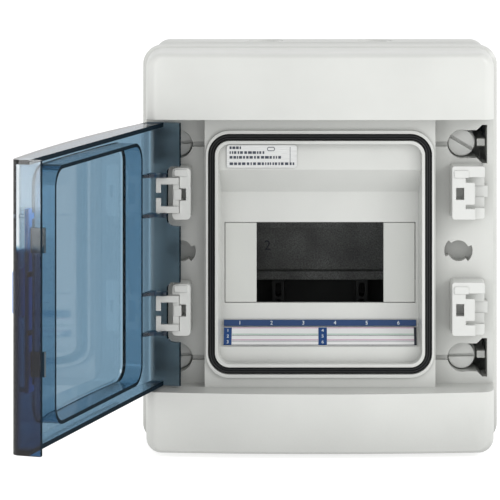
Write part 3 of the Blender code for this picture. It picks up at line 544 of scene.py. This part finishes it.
def build_door(q=1):
    n = 3 * q
    low, top = RING_Z - 74.0, RING_Z + 74.0
    body = prism_z("door", [(-96.5, 86.0)] + door_profile(0, n) + [(96.5, 86.0)], low, top)
    add(body, window_rings("window", [(62.3, 66.9, 11.3, 100, 0), (62.3, 66.9, 11.3, None, 0.9),
                                      (61.2, 65.8, 10.2, None, 2.0)], 5 * q))
    inner = prism_z("inner", [(-94, 80)] + door_profile(2.5, n) + [(94, 80)], low + 2.5, top - 2.5)
    cut(inner, window_rings("rib", [(62.1, 66.7, 11.1, 95.7, 0), (62.1, 66.7, 11.1, None, 1)], 5 * q))
    cut(body, inner)
    cut(body, window_rings("pocket", [(60.1, 64.7, 9.1, 80, 0), (60.1, 64.7, 9.1, None, -1.3),
                                      (59.2, 63.8, 8.2, None, -0.5)], 5 * q))
    for edge, z in ((low, low + 2.7), (top, top - 2.7)):
        cut(body, box("trim", -94, 94, 80, 95.5, *sorted((z, edge * 1.1))))
    cut(body, box("trim", 90, 100, 80, 89.0, -80, 80))
    for sz in (1, -1):
        z = pin_z(sz)
        n0, n1 = hinge_z(sz) - 18.2, hinge_z(sz) + 15.5
        notch = [(n0, 80)] + arc(n0 + 3.6, 90.0, 3.6, 180, 90, 2 * q)
        notch += arc(n1 - 3.6, 90.0, 3.6, 90, 0, 2 * q) + [(n1, 80)]
        cut(body, prism_x("notch", notch, -100, -92))
        for s in (1, -1):
            z0, z1 = sorted((z + s * 10.2, z + s * 12.2))
            plate = [(-95, 93.7), (-95, 104.0), (-82.6, 105.4), (-82.6, 103.0), (-87.6, 98.6),
                     (-88.4, 93.4), (-89.6, 92.2), (-92.2, 92.2)]
            add(body, prism_z("gusset", plate, z0, z1))
            cut(body, cyl_z("eye", HINGE_X, HINGE_D, 1.6, z0 - 0.5, z1 + 0.5, 16 * q))
        # a foot under the latch bar and a rib above it
        p = sz * 14.6 + 0.3
        add(body, box("foot", 89.5, 94.5, 95.4, 96.7, p - 1.2, p + 1.2))
        add(body, box("rib", 87.0, 91.0, 99.5, 104.5, *sorted((sz * 42.8, sz * 44.4))))
    cut(body, prism_d("button_hole", rounded(4.95, 11.25, 1.6, 3 * q, cx=86.55, cz=BUTTON_Z), 100, 115))
    return body


def build_latch_button(q=1):
    """Sits a little proud of the door's front, with a flange behind it."""
    body = prism_d("latch_button", rounded(4.7, 11.0, 1.4, 3 * q, cx=86.55, cz=BUTTON_Z), 102.3, 106.6)
    add(body, prism_d("flange", rounded(5.5, 12.1, 1.6, 3 * q, cx=86.35, cz=BUTTON_Z), 102.1, 102.7))
    cut(body, prism_d("dish", rounded(3.2, 8.6, 2.4, 3 * q, cx=86.55, cz=BUTTON_Z), 106.1, 108))
    return body


def build_latch_bar(q=1):
    body = box("latch_bar", 87.2, 91.6, 97.0, 99.2, -45, 47.5)
    for sz in (1, -1):
        p = sz * 44.5
        add(body, box("wing", 84.6, 88.0, 97.0, 99.2, *sorted((p - sz * 2.6, p + sz * 0.4))))
    return body


def build_latch_hook(name, sz):
    z = hook_z(sz)
    body = box(name, 88.0, 90.0, 89.6, 96.7, z - 6.4, z + 6.4)
    add(body, prism_z("barb", [(86.2, 93.9), (86.4, 92.6), (88.2, 90.4), (88.2, 93.9)], z - 6.2, z + 6.2))
    return body


def build_cable_plug(name, x, sz, q=1):
    body = cyl_z(name, x, 15, 10.0, *sorted((sz * 108.0, sz * 112.4)), 16 * q)
    add(body, cyl_z("flange", x, 15, 11.6, *sorted((sz * 107.6, sz * 109.2)), 16 * q))
    cut(body, cyl_z("dimple", x, 15, 7.5, *sorted((sz * 111.6, sz * 114)), 16 * q))
    return body


def build_wall_cap(name, x, z, q=1):
    body = cyl_d(name, x, z, 5.4, 6.3, 7.8, 12 * q, 4.8)
    add(body, cyl_d("stub", x, z, 2.3, 3.4, 6.8, 10 * q))
    return body


# ---------------------------------------------------------------- fine versions
def ring_sweep(name, hx, hz, r, section, n=16):
    """Closed ring with a rounded section. section: list of (offset, d)."""
    rings = [[(x, d, z) for x, z in rounded(hx + o, hz + o, r + o, n, cz=RING_Z)] for o, d in section]
    count, m = len(rings[0]), len(rings)
    verts = [v for ring in rings for v in ring]
    faces = []
    for k in range(m):
        for i in range(count):
            j, k2 = (i + 1) % count, (k + 1) % m
            faces.append((k * count + i, k * count + j, k2 * count + j, k2 * count + i))
    return make(name, verts, faces)


def clean(obj):
    bm = bmesh.new()
    bm.from_mesh(obj.data)
    bmesh.ops.remove_doubles(bm, verts=bm.verts, dist=0.00001)
    bmesh.ops.dissolve_limit(bm, angle_limit=math.radians(0.4), verts=bm.verts, edges=bm.edges)
    bm.to_mesh(obj.data)
    bm.free()
    return obj


def shade(obj, angle=32.0):
    obj.data.polygons.foreach_set("use_smooth", [True] * len(obj.data.polygons))
    obj.data.set_sharp_from_angle(angle=math.radians(angle))
    return obj


def surface(mesh):
    mesh.calc_loop_triangles()
    areas = np.empty(len(mesh.loop_triangles))
    mesh.loop_triangles.foreach_get("area", areas)
    return float(areas.sum())


def sound(obj, whole, tree, reach):
    """True where the bevelled surface still follows the plain one: no face
    stands off it, none is turned over, and the area hasn't grown."""
    bpy.context.view_layer.update()
    done = obj.evaluated_get(bpy.context.evaluated_depsgraph_get())
    mesh = done.to_mesh()
    area = surface(mesh)
    good = 0.88 * whole < area < 1.0005 * whole
    if good:
        for tri in mesh.loop_triangles:
            if tri.area < 2e-8:
                continue
            a, b, c = (mesh.vertices[i].co for i in tri.vertices)
            near = tree.find_nearest((a + b + c) / 3)
            if near[3] > reach or (b - a).cross(c - a).normalized().dot(near[1]) < -0.25:
                good = False
                break
    done.to_mesh_clear()
    return good


def soften(obj, width, segments=2, angle=35.0):
    """Rounds the edges by width in mm, or by less where a narrow strip can't take it."""
    clean(obj)
    shade(obj, angle)
    whole = surface(obj.data)
    tree = BVHTree.FromPolygons([v.co.copy() for v in obj.data.vertices],
                                [tuple(t.vertices) for t in obj.data.loop_triangles])
    bevel = obj.modifiers.new("soften", "BEVEL")
    bevel.segments = segments
    bevel.limit_method = "ANGLE"
    bevel.angle_limit = math.radians(angle)
    bevel.loop_slide = False
    bevel.miter_outer = "MITER_ARC"
    bevel.harden_normals = True
    for share, clamp in ((1.0, False), (1.0, True), (0.6, False), (0.6, True), (0.35, False), (0.2, False)):
        bevel.width = width * share * 0.001
        bevel.use_clamp_overlap = clamp
        if sound(obj, whole, tree, 0.0011 * width):
            return obj
    obj.modifiers.remove(bevel)
    return obj


# ---------------------------------------------------------------- materials
def new_material(name):
    mat = bpy.data.materials.new(name)
    mat.use_nodes = True
    nodes, links = mat.node_tree.nodes, mat.node_tree.links
    return mat, nodes, links, nodes["Principled BSDF"]


def noise(nodes, links, scale, detail=2.0, rough=0.5, stretch=None):
    coord = nodes.new("ShaderNodeTexCoord")
    tex = nodes.new("ShaderNodeTexNoise")
    tex.inputs["Scale"].default_value = scale
    tex.inputs["Detail"].default_value = detail
    tex.inputs["Roughness"].default_value = rough
    source = coord.outputs["Object"]
    if stretch is not None:
        mapping = nodes.new("ShaderNodeMapping")
        mapping.inputs["Scale"].default_value = stretch
        links.new(source, mapping.inputs["Vector"])
        source = mapping.outputs["Vector"]
    links.new(source, tex.inputs["Vector"])
    return tex.outputs["Fac"]


def spread(nodes, links, value, low, high):
    node = nodes.new("ShaderNodeMapRange")
    node.inputs["From Min"].default_value = 0.3
    node.inputs["From Max"].default_value = 0.7
    node.inputs["To Min"].default_value = low
    node.inputs["To Max"].default_value = high
    links.new(value, node.inputs["Value"])
    return node.outputs["Result"]


def blend_colors(nodes, links, fac, a, b):
    mix = nodes.new("ShaderNodeMix")
    mix.data_type = "RGBA"
    mix.inputs["A"].default_value = (*a, 1)
    mix.inputs["B"].default_value = (*b, 1)
    links.new(fac, mix.inputs["Factor"])
    return mix.outputs["Result"]


def moulded(name, color, rough=0.36, grain=0.05, grain_scale=1500.0, edge=0.35, coat=0.0, speck=0.0, cavity_shade=0.0):
    """Moulded plastic: faint mottling, fine grain, softened edges, and an optional painted shade that darkens the
    colour in recesses.
    """
    mat, nodes, links, shader = new_material(name)
    mottle = spread(nodes, links, noise(nodes, links, 26.0, 3.0), 0.0, 1.0)
    base = blend_colors(nodes, links, mottle, [c * 0.965 for c in color], [min(1.0, c * 1.02) for c in color])
    if speck:
        mix = nodes.new("ShaderNodeMix")
        mix.data_type = "RGBA"
        links.new(base, mix.inputs["A"])
        mix.inputs["B"].default_value = (*[min(1, c * 3 + 0.05) for c in color], 1)
        dots = nodes.new("ShaderNodeMapRange")
        dots.inputs["From Min"].default_value = 0.62
        dots.inputs["From Max"].default_value = 0.70
        dots.inputs["To Max"].default_value = speck
        links.new(noise(nodes, links, 1300.0, 2.0, 0.6), dots.inputs["Value"])
        links.new(dots.outputs["Result"], mix.inputs["Factor"])
        base = mix.outputs["Result"]
    if cavity_shade:
        # painted shade: the base colour is darkened in recesses and corners by ambient occlusion, as if shade fell
        # there
        open_sky = nodes.new("ShaderNodeAmbientOcclusion")
        open_sky.samples = 8
        open_sky.inputs["Distance"].default_value = 0.045
        shade_by = nodes.new("ShaderNodeMapRange")
        shade_by.inputs["From Min"].default_value = 0.30
        shade_by.inputs["From Max"].default_value = 0.95
        shade_by.inputs["To Min"].default_value = 1.0 - cavity_shade
        shade_by.inputs["To Max"].default_value = 1.0
        links.new(open_sky.outputs["AO"], shade_by.inputs["Value"])
        dim = nodes.new("ShaderNodeVectorMath")
        dim.operation = "SCALE"
        links.new(base, dim.inputs[0])
        links.new(shade_by.outputs["Result"], dim.inputs["Scale"])
        base = dim.outputs["Vector"]
    links.new(base, shader.inputs["Base Color"])
    links.new(spread(nodes, links, noise(nodes, links, 90.0, 3.0), rough - 0.04, rough + 0.05), shader.inputs["Roughness"])
    bump = nodes.new("ShaderNodeBump")
    bump.inputs["Strength"].default_value = grain
    bump.inputs["Distance"].default_value = 0.0002
    links.new(noise(nodes, links, grain_scale, 2.0, 0.6), bump.inputs["Height"])
    if edge:
        bevel = nodes.new("ShaderNodeBevel")
        bevel.samples = 4
        bevel.inputs["Radius"].default_value = edge * 0.001
        links.new(bevel.outputs["Normal"], bump.inputs["Normal"])
    links.new(bump.outputs["Normal"], shader.inputs["Normal"])
    shader.inputs["Specular IOR Level"].default_value = 0.5
    shader.inputs["Coat Weight"].default_value = coat
    shader.inputs["Coat Roughness"].default_value = 0.25
    return mat


def metal(name, color, rough, streak=(1, 1, 1), scale=300.0, grain=0.1):
    mat, nodes, links, shader = new_material(name)
    mottle = spread(nodes, links, noise(nodes, links, scale, 4.0, 0.6, streak), 0.0, 1.0)
    links.new(blend_colors(nodes, links, mottle, [c * 0.8 for c in color], color), shader.inputs["Base Color"])
    shader.inputs["Metallic"].default_value = 1.0
    links.new(spread(nodes, links, noise(nodes, links, scale * 2, 3.0, 0.6, streak), rough - 0.07, rough + 0.1), shader.inputs["Roughness"])
    bump = nodes.new("ShaderNodeBump")
    bump.inputs["Strength"].default_value = grain
    bump.inputs["Distance"].default_value = 0.0002
    links.new(noise(nodes, links, scale * 4, 2.0), bump.inputs["Height"])
    links.new(bump.outputs["Normal"], shader.inputs["Normal"])
    return mat


def ramp(nodes, links, value, low, high, to_low=0.0, to_high=1.0):
    node = nodes.new("ShaderNodeMapRange")
    node.inputs["From Min"].default_value = low
    node.inputs["From Max"].default_value = high
    node.inputs["To Min"].default_value = to_low
    node.inputs["To Max"].default_value = to_high
    links.new(value, node.inputs["Value"])
    return node.outputs["Result"]


def math_node(nodes, links, operation, a, b):
    node = nodes.new("ShaderNodeMath")
    node.operation = operation
    for i, value in enumerate((a, b)):
        if isinstance(value, float):
            node.inputs[i].default_value = value
        else:
            links.new(value, node.inputs[i])
    return node.outputs["Value"]


def spangled_in_shade(name, dark, light):
    """Galvanised steel with coarse spangle speckle and a rough skin; its dark base colour is painted shade."""
    mat, nodes, links, shader = new_material(name)
    fleck = spread(nodes, links, noise(nodes, links, 1100.0, 5.0, 0.75), 0.0, 1.0)
    cloud = spread(nodes, links, noise(nodes, links, 45.0, 3.0), 0.35, 1.0)
    links.new(blend_colors(nodes, links, math_node(nodes, links, "MULTIPLY", fleck, cloud), dark, light), shader.inputs["Base Color"])
    links.new(spread(nodes, links, noise(nodes, links, 500.0, 3.0), 0.30, 0.55), shader.inputs["Roughness"])
    bump = nodes.new("ShaderNodeBump")
    bump.inputs["Strength"].default_value = 0.65
    bump.inputs["Distance"].default_value = 0.0003
    links.new(fleck, bump.inputs["Height"])
    links.new(bump.outputs["Normal"], shader.inputs["Normal"])
    return mat


def smoked(name, absorb, density, lower_edge_tint, rough=0.03):
    """Clear tinted plastic: it refracts for the eye and lets light through tinted.
    The flange at the hinge is frosted. Along the free edge the absorption is set by
    position: much weaker in the upper half, stronger and bluer in the lower half."""
    mat, nodes, links, shader = new_material(name)
    nodes.remove(shader)
    out = nodes["Material Output"]
    coord = nodes.new("ShaderNodeTexCoord")
    split = nodes.new("ShaderNodeSeparateXYZ")
    links.new(coord.outputs["Object"], split.inputs["Vector"])
    frost = ramp(nodes, links, split.outputs["Y"], -0.1030, -0.1005)
    glass = nodes.new("ShaderNodeBsdfGlass")
    glass.inputs["IOR"].default_value = 1.49
    glass.inputs["Color"].default_value = (1, 1, 1, 1)
    haze = spread(nodes, links, noise(nodes, links, 40.0, 3.0), rough * 0.6, rough * 1.6)
    cloudy = math_node(nodes, links, "MULTIPLY", frost, 0.42)
    links.new(math_node(nodes, links, "ADD", haze, cloudy), glass.inputs["Roughness"])
    bump = nodes.new("ShaderNodeBump")
    bump.inputs["Strength"].default_value = 0.04
    bump.inputs["Distance"].default_value = 0.0004
    links.new(noise(nodes, links, 30.0, 1.0), bump.inputs["Height"])
    links.new(bump.outputs["Normal"], glass.inputs["Normal"])
    clear = nodes.new("ShaderNodeBsdfTransparent")
    clear.inputs["Color"].default_value = (0.27, 0.31, 0.33, 1)
    path = nodes.new("ShaderNodeLightPath")
    either = math_node(nodes, links, "MAXIMUM", path.outputs["Is Shadow Ray"], path.outputs["Is Diffuse Ray"])
    mix = nodes.new("ShaderNodeMixShader")
    links.new(either, mix.inputs["Fac"])
    links.new(glass.outputs["BSDF"], mix.inputs[1])
    links.new(clear.outputs["BSDF"], mix.inputs[2])
    links.new(mix.outputs["Shader"], out.inputs["Surface"])
    # along the free edge the absorption is set by position: weaker above, stronger and bluer below
    volume = nodes.new("ShaderNodeVolumeAbsorption")
    edge = ramp(nodes, links, split.outputs["Y"], -0.2655, -0.2670)
    ragged = math_node(nodes, links, "ADD", split.outputs["Z"], ramp(nodes, links, noise(nodes, links, 260.0, 4.0, 0.7), 0.3, 0.7, -0.002, 0.002))
    low = ramp(nodes, links, ragged, 0.0285, 0.0255)
    lower_edge_mask = math_node(nodes, links, "MULTIPLY", edge, low)
    links.new(blend_colors(nodes, links, lower_edge_mask, absorb, lower_edge_tint), volume.inputs["Color"])
    high = math_node(nodes, links, "SUBTRACT", edge, lower_edge_mask)
    thin = ramp(nodes, links, high, 0.0, 1.0, density, density * 0.09)
    extra_tint = ramp(nodes, links, lower_edge_mask, 0.0, 1.0, 0.0, density * 2.8)
    links.new(math_node(nodes, links, "ADD", thin, extra_tint), volume.inputs["Density"])
    links.new(volume.outputs["Volume"], out.inputs["Volume"])
    return mat


# ---------------------------------------------------------------- the pieces
GREY = (0.735, 0.745, 0.715)
M = {
    # shell, part and plate darken their base colour in recesses: painted shade
    "shell": moulded("shell_plastic", GREY, 0.34, 0.035, coat=0.15, cavity_shade=0.34),
    "rear": moulded("rear_plastic", (0.70, 0.71, 0.685), 0.40, 0.06),
    "part": moulded("fitting_plastic", (0.755, 0.765, 0.74), 0.33, 0.03, coat=0.1, edge=0.45, cavity_shade=0.16),
    "plate": moulded("blank_plastic", (0.66, 0.672, 0.64), 0.38, 0.03, edge=0.2, cavity_shade=0.15),
    "black": moulded("carrier_plastic", (0.006, 0.008, 0.008), 0.55, 0.10, 900.0, speck=0.0),
    "rubber": moulded("seal_rubber", (0.009, 0.010, 0.011), 0.50, 0.25, 1800.0, edge=0.0),
    "blue": moulded("latch_plastic", (0.0, 0.20, 0.66), 0.30, 0.03, coat=0.2),
    "blue_base": moulded("neutral_plastic", (0.01, 0.11, 0.42), 0.35, 0.04),
    "green": moulded("earth_plastic", (0.02, 0.20, 0.05), 0.35, 0.04),
    "strip": moulded("strip_print", (0.003, 0.040, 0.145), 0.45, 0.02, edge=0.0),
    "card": moulded("card_paper", (0.83, 0.835, 0.83), 0.55, 0.03, 700.0, edge=0.0),
    "ink": moulded("ink_dark", (0.015, 0.018, 0.03), 0.5, 0.0, edge=0.0),
    "ink_soft": moulded("ink_soft", (0.045, 0.055, 0.08), 0.5, 0.0, edge=0.0),
    "ink_blue": moulded("ink_blue", (0.003, 0.048, 0.19), 0.5, 0.0, edge=0.0),
    "ink_pink": moulded("ink_pink", (0.50, 0.16, 0.36), 0.5, 0.0, edge=0.0),
    "ink_green": moulded("ink_green", (0.14, 0.42, 0.24), 0.5, 0.0, edge=0.0),
    "digit": moulded("digit_pale", (0.72, 0.78, 0.80), 0.5, 0.0, edge=0.0),
    # the rail is galvanised steel; its dark colour is painted shade
    "rail": spangled_in_shade("rail_steel_painted_shade", (0.030, 0.033, 0.031), (0.30, 0.31, 0.30)),
    "steel": metal("screw_steel", (0.62, 0.62, 0.60), 0.30),
    "brass": metal("terminal_brass", (0.78, 0.57, 0.25), 0.26, (1, 12, 1)),
    "foil": metal("plate_foil", (0.80, 0.81, 0.80), 0.36, (1, 1, 14), 120.0, 0.03),
    "smoked": smoked("door_smoked", (0.043, 0.365, 0.545), 500.0, lower_edge_tint=(0.0, 0.47, 0.66)),
    "door_rim": moulded("door_rim", (0.004, 0.012, 0.020), 0.70, 0.02, coat=0.0, edge=0.0),
    "tinted": moulded("hook_tinted", (0.035, 0.06, 0.075), 0.22, 0.02, coat=0.4),
}
M["door_rim"].node_tree.nodes["Principled BSDF"].inputs["Specular IOR Level"].default_value = 0.08
BODY = {node: body for body, nodes in frame["record"]["behaviour"]["bodies"].items() for node in nodes}
TURN = Matrix.Translation(P(HINGE_X, HINGE_D, 0)) @ Matrix.Rotation(-math.radians(OPEN_DEG), 4, "Z") @ Matrix.Translation(P(HINGE_X, HINGE_D, 0)).inverted()


def place(obj, node, look, width=0.0, segments=2, angle=35.0):
    """Finishes a piece that stands for a CAD node."""
    body = BODY[node]
    if width:
        soften(obj, width, segments, angle)
    else:
        clean(obj)
        shade(obj, angle)
    obj.name = node + "_fine"
    if body in ("door", "button", "latch"):
        obj.data.transform(TURN)
    obj.data.materials.clear()
    obj.data.materials.append(M[look])
    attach(obj, body)
    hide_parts(node)
    return obj


def extra(obj, name, body, look, width=0.0):
    """A detail that has no CAD node of its own."""
    if width:
        soften(obj, width)
    else:
        shade(obj)
    obj.name = name
    if body in ("door", "button", "latch"):
        obj.data.transform(TURN)
    obj.data.materials.clear()
    obj.data.materials.append(M[look])
    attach(obj, body)
    return obj


def join(name, objs):
    """One object from several separate solids."""
    bm = bmesh.new()
    for obj in objs:
        bm.from_mesh(obj.data)
    mesh = bpy.data.meshes.new(name)
    bm.to_mesh(mesh)
    bm.free()
    for obj in objs:
        bpy.data.objects.remove(obj)
    obj = bpy.data.objects.new(name, mesh)
    bpy.context.scene.collection.objects.link(obj)
    return obj


def digits(name, marks, size):
    """Raised digits facing the front. marks: (character, x, d, z, tilt)."""
    made = []
    for char, x, d, z, tilt in marks:
        curve = bpy.data.curves.new(name, "FONT")
        curve.body = char
        curve.align_x = "CENTER"
        curve.align_y = "CENTER"
        curve.size = size * 0.001
        curve.extrude = 0.00004
        curve.resolution_u = 3
        obj = bpy.data.objects.new(name, curve)
        bpy.context.scene.collection.objects.link(obj)
        obj.matrix_world = Matrix.Translation(P(x, d, z)) @ Matrix.Rotation(math.radians(90 - tilt), 4, "X")
        bpy.context.view_layer.update()
        graph = bpy.context.evaluated_depsgraph_get()
        mesh = bpy.data.meshes.new_from_object(obj.evaluated_get(graph))
        mesh.transform(obj.matrix_world)
        bpy.data.objects.remove(obj)
        done = bpy.data.objects.new(name, mesh)
        bpy.context.scene.collection.objects.link(done)
        made.append(done)
    return join(name, made)


Q = 3
place(build_front_cover(Q), "front_cover", "shell", 0.45)
place(build_rear_housing(Q), "rear_housing", "rear", 0.4)
place(build_housing_seal(Q), "housing_seal", "rubber", 0.4)
section = [(1.72, 92.85)]
for i in range(19):
    o = 1.72 - 3.44 * i / 18
    section.append((o, 93.3 + 1.85 * math.sqrt(max(0.0, 1 - (o / 1.76) ** 2)) - 0.75 * math.exp(-(o / 0.38) ** 2)))
section.append((-1.72, 92.85))
place(ring_sweep("door_seal", 61.1, 65.7, 10.2, section, 20), "door_seal", "rubber", 0.0, angle=60)
for side, sx in (("left", -1), ("right", 1)):
    place(build_blanking_plate("p", sx), "blanking_plate_" + side, "plate", 0.35)
place(build_number_strip(), "number_strip", "strip", 0.1)
place(build_label_card(), "label_card", "card", 0.08)
place(build_rating_plate(), "rating_plate", "foil", 0.06)
for level, sz in (("upper", 1), ("lower", -1)):
    place(build_latch_bracket("p", sz, 2), "latch_bracket_" + level, "part", 0.0)
    place(build_hinge_bracket("p", sz, 2), "hinge_bracket_" + level, "part", 0.0)
    place(build_hinge_hook("p", sz, 2), "hinge_hook_" + level, "part", 0.0)
    place(build_latch_hook("p", sz), "latch_hook_" + level, "tinted", 0.25)
    for side, sx in (("left", -1), ("right", 1)):
        name = "%s_%s" % (level, side)
        x, z = sx * SCREW_X, screw_z(sz)
        place(build_cover_screw("p", x, z, SLOT_DEG[name], 3), "cover_screw_" + name, "part", 0.3)
        place(build_screw_seal("p", x, z, 3), "screw_seal_" + name, "rubber", 0.2)
        place(build_cable_plug("p", sx * 32, sz, 3), "cable_plug_" + name, "rear", 0.35)
        place(build_wall_cap("p", sx * 70, sz * 88, 3), "wall_cap_" + name, "part", 0.3)
        place(build_pan_screw("p", sx * 46, 28 if sz > 0 else -44, 8.9, 5.2), "carrier_screw_" + name, "steel", 0.15)
door = place(build_door(Q), "door", "smoked", 0.3)
# cut edges of the tinted sheet look nearly black
door.data.materials.append(M["door_rim"])
back = TURN.inverted().to_3x3()
for face in door.data.polygons:
    at = TURN.inverted() @ face.center
    if (back @ face.normal).y > 0.9 and -at.y < 0.0962:
        face.material_index = 1
place(build_latch_button(3), "latch_button", "blue", 0.3)
place(build_latch_bar(3), "latch_bar", "blue", 0.25)
place(build_din_rail(), "din_rail", "rail", 0.45, 3)
place(build_rail_carrier(), "rail_carrier", "black", 0.3)
place(build_terminal_strip(), "terminal_strip", "rear", 0.3)
for side, sx in (("left", -1), ("right", 1)):
    place(build_rail_screw("p", sx * 46), "rail_screw_" + side, "steel", 0.2)
    place(build_pan_screw("p", sx * 44, 92, 11.3, 6.0), "strip_screw_" + side, "steel", 0.15)
for label, cx, look in (("earth", -21, "green"), ("neutral", 21, "blue_base")):
    place(build_terminal_base("p", cx), "terminal_base_" + label, look, 0.3)
    place(build_terminal_bar("p", cx), "terminal_bar_" + label, "brass", 0.2)
    for i, dx in enumerate(TERMINALS):
        place(build_pan_screw("p", cx + dx, 92, 24.3, 4.5, 1.5, 2.9), "terminal_screw_%s_%d" % (label, i + 1), "steel", 0.15)

# ---------------------------------------------------------------- printing
marks = [(str(i + 1), -45.5 + 18 * i, WINDOW_D + 1.12, -42.7, 0) for i in range(6)]
extra(digits("n", marks, 3.1), "number_strip_digits", "cover", "digit")


def on_card(x0, x1, t0, t1, h0=0.0, h1=0.12):
    """Thin slab on the label card; t runs down the slope from its top edge."""
    s = math.sqrt(0.5)
    z, d = -45.6 + 0.66, WINDOW_D + 0.9 + 0.66
    corners = [(z - s * t + s * h, d + s * t + s * h) for t, h in ((t0, h0), (t1, h0), (t1, h1), (t0, h1))]
    return prism_x("slab", corners, x0, x1)


ROWS = (0.9, 4.75, 8.6, 12.3)
extra(join("b", [on_card(-54.5, -50.0, 0.35, 12.2), on_card(-0.9, 3.9, 0.35, 12.2)]), "card_number_columns", "cover", "ink_blue")
for i, look in enumerate(("ink_pink", "ink_green", "ink_pink")):
    t = ROWS[i] if i else 0.45
    extra(join("l", [on_card(-49.8, -1.0, t, t + 0.28), on_card(4.0, 53.2, t, t + 0.28)]), "card_rule_%d" % (i + 1), "cover", look)
extra(join("l", [on_card(-49.8, -1.0, t + 0.9, t + 1.12) for t in ROWS[1:3]] + [on_card(4.0, 53.2, t + 0.9, t + 1.12) for t in ROWS[1:3]]), "card_rules_soft", "cover", "ink_soft")
extra(join("l", [on_card(53.2, 54.6, 0.2, 12.5), on_card(-54.6, 54.6, 12.1, 12.55)]), "card_border", "cover", "ink")
marks = []
for i in range(3):
    t = 2.5 + 3.9 * i
    z, d = -45.6 + 0.66 - math.sqrt(0.5) * t + 0.12, WINDOW_D + 1.56 + math.sqrt(0.5) * t + 0.12
    marks += [(str(i + 1), -52.2, d, z, 45), (str(i + 4), 1.5, d, z, 45)]
extra(digits("n", marks, 2.9), "card_digits", "cover", "digit")
# plain bars stand in for the plate's printing
bars = random.Random(7)
made = []
for row, z in enumerate((58.0, 55.3, 52.6, 49.0)):
    x = -51.0
    stop = (-44.0, -31.0, -22.0, -14.5)[row]
    while x < stop:
        w = bars.uniform(0.7, 2.2)
        made.append(box("bar", x, min(x + w, stop), 92.19, 92.24, z - 0.75, z + 0.75))
        x += w + bars.uniform(0.35, 0.8)
extra(join("bars", made), "rating_plate_marks", "cover", "ink_soft")
extra(join("frame", [annulus("r", rounded(2.2, 1.2, 1.1, 4, cx=-27.6, cz=57.3), rounded(1.8, 0.8, 0.7, 4, cx=-27.6, cz=57.3), 92.19, 92.24),
                     box("b", -17.0, -16.7, 92.19, 92.24, 48.2, 58.4)]), "rating_plate_lines", "cover", "ink_soft")
extra(digits("n", [("2", -30.8, 25.52, -7.0, 0)], 8.0), "rail_stamp", "housing", "ink")

# ---------------------------------------------------------------- stage
floor = make("floor", [(-6000, 4000, 0), (6000, 4000, 0), (6000, -6000, 0), (-6000, -6000, 0)], [(0, 1, 2, 3)])
floor.location.z = -0.1138
mat, nodes, links, shader = new_material("floor_pale")
shader.inputs["Base Color"].default_value = (0.74, 0.74, 0.74, 1)
shader.inputs["Roughness"].default_value = 0.9
shader.inputs["Specular IOR Level"].default_value = 0.0
shader.inputs["Emission Color"].default_value = (1, 1, 1, 1)
seen = nodes.new("ShaderNodeLightPath")
glow = nodes.new("ShaderNodeMath")
glow.operation = "MULTIPLY_ADD"
glow.inputs[1].default_value = 0.22
glow.inputs[2].default_value = 0.40
links.new(seen.outputs["Is Camera Ray"], glow.inputs[0])
links.new(glow.outputs["Value"], shader.inputs["Emission Strength"])
floor.data.materials.append(mat)

# a soft sky, a little brighter below than overhead and brighter to the right
world = bpy.data.worlds.new("studio")
bpy.context.scene.world = world
world.use_nodes = True
nodes, links = world.node_tree.nodes, world.node_tree.links
coord = nodes.new("ShaderNodeTexCoord")
split = nodes.new("ShaderNodeSeparateXYZ")
links.new(coord.outputs["Generated"], split.inputs["Vector"])
rise = nodes.new("ShaderNodeMapRange")
rise.inputs["From Min"].default_value = -0.3
rise.inputs["From Max"].default_value = 0.9
rise.inputs["To Min"].default_value = 0.92
rise.inputs["To Max"].default_value = 0.78
links.new(split.outputs["Z"], rise.inputs["Value"])
side = nodes.new("ShaderNodeMapRange")
side.inputs["From Min"].default_value = -1.0
side.inputs["From Max"].default_value = 1.0
side.inputs["To Min"].default_value = 0.92
side.inputs["To Max"].default_value = 1.08
links.new(split.outputs["X"], side.inputs["Value"])
level = nodes.new("ShaderNodeMath")
level.operation = "MULTIPLY"
links.new(rise.outputs["Result"], level.inputs[0])
links.new(side.outputs["Result"], level.inputs[1])
nodes["Background"].inputs["Color"].default_value = (1, 1, 1, 1)
across = math_node(nodes, links, "MULTIPLY", split.outputs["Y"], split.outputs["Y"])
rim_light = ramp(nodes, links, across, 0.0, 1.0, 0.92, 1.10)
links.new(math_node(nodes, links, "MULTIPLY", level.outputs["Value"], rim_light), nodes["Background"].inputs["Strength"])


def area(name, at, look_at, size, power, high=None):
    light = bpy.data.lights.new(name, "AREA")
    light.shape = "RECTANGLE"
    light.size = size
    light.size_y = high or size
    light.energy = power
    obj = bpy.data.objects.new(name, light)
    bpy.context.scene.collection.objects.link(obj)
    obj.location = at
    obj.rotation_euler = (Vector(look_at) - Vector(at)).to_track_quat("-Z", "Y").to_euler()
    return obj


area("key", (1.45, -0.95, 0.75), (0, -0.05, 0), 0.5, 6.0)
area("low_fill", (-0.85, -1.25, 0.0), (-0.02, -0.05, -0.07), 0.5, 3.0)
area("strip_right", (1.5, -0.35, 0.1), (0.1, -0.08, 0), 0.16, 1.1, 1.2)
area("strip_left", (-1.5, -0.30, 0.1), (-0.1, -0.08, 0), 0.16, 1.1, 1.2)

camera = bpy.data.objects.new("camera", bpy.data.cameras.new("camera"))
bpy.context.scene.collection.objects.link(camera)
camera.location = (0.0, -1.710, 0.240)
camera.rotation_euler = (math.radians(90), 0, 0)
camera.data.sensor_width = 36.0
camera.data.lens = 2869.0 / 500.0 * 36.0
camera.data.clip_start = 0.05
# The photo's perspective has upright verticals, which needs a shifted lens.
# The shift belongs to this one viewpoint, so any other viewpoint has none.
for field, value in (("shift_x", -0.14), ("shift_y", -0.85)):
    driver = camera.data.driver_add(field).driver
    driver.type = "SCRIPTED"
    variable = driver.variables.new()
    variable.name = "y"
    variable.targets[0].id = camera
    variable.targets[0].data_path = "location.y"
    driver.expression = "%g if abs(y + 1.71) < 0.002 else 0.0" % value
bpy.context.scene.camera = camera
bpy.context.scene.view_settings.view_transform = "Standard"
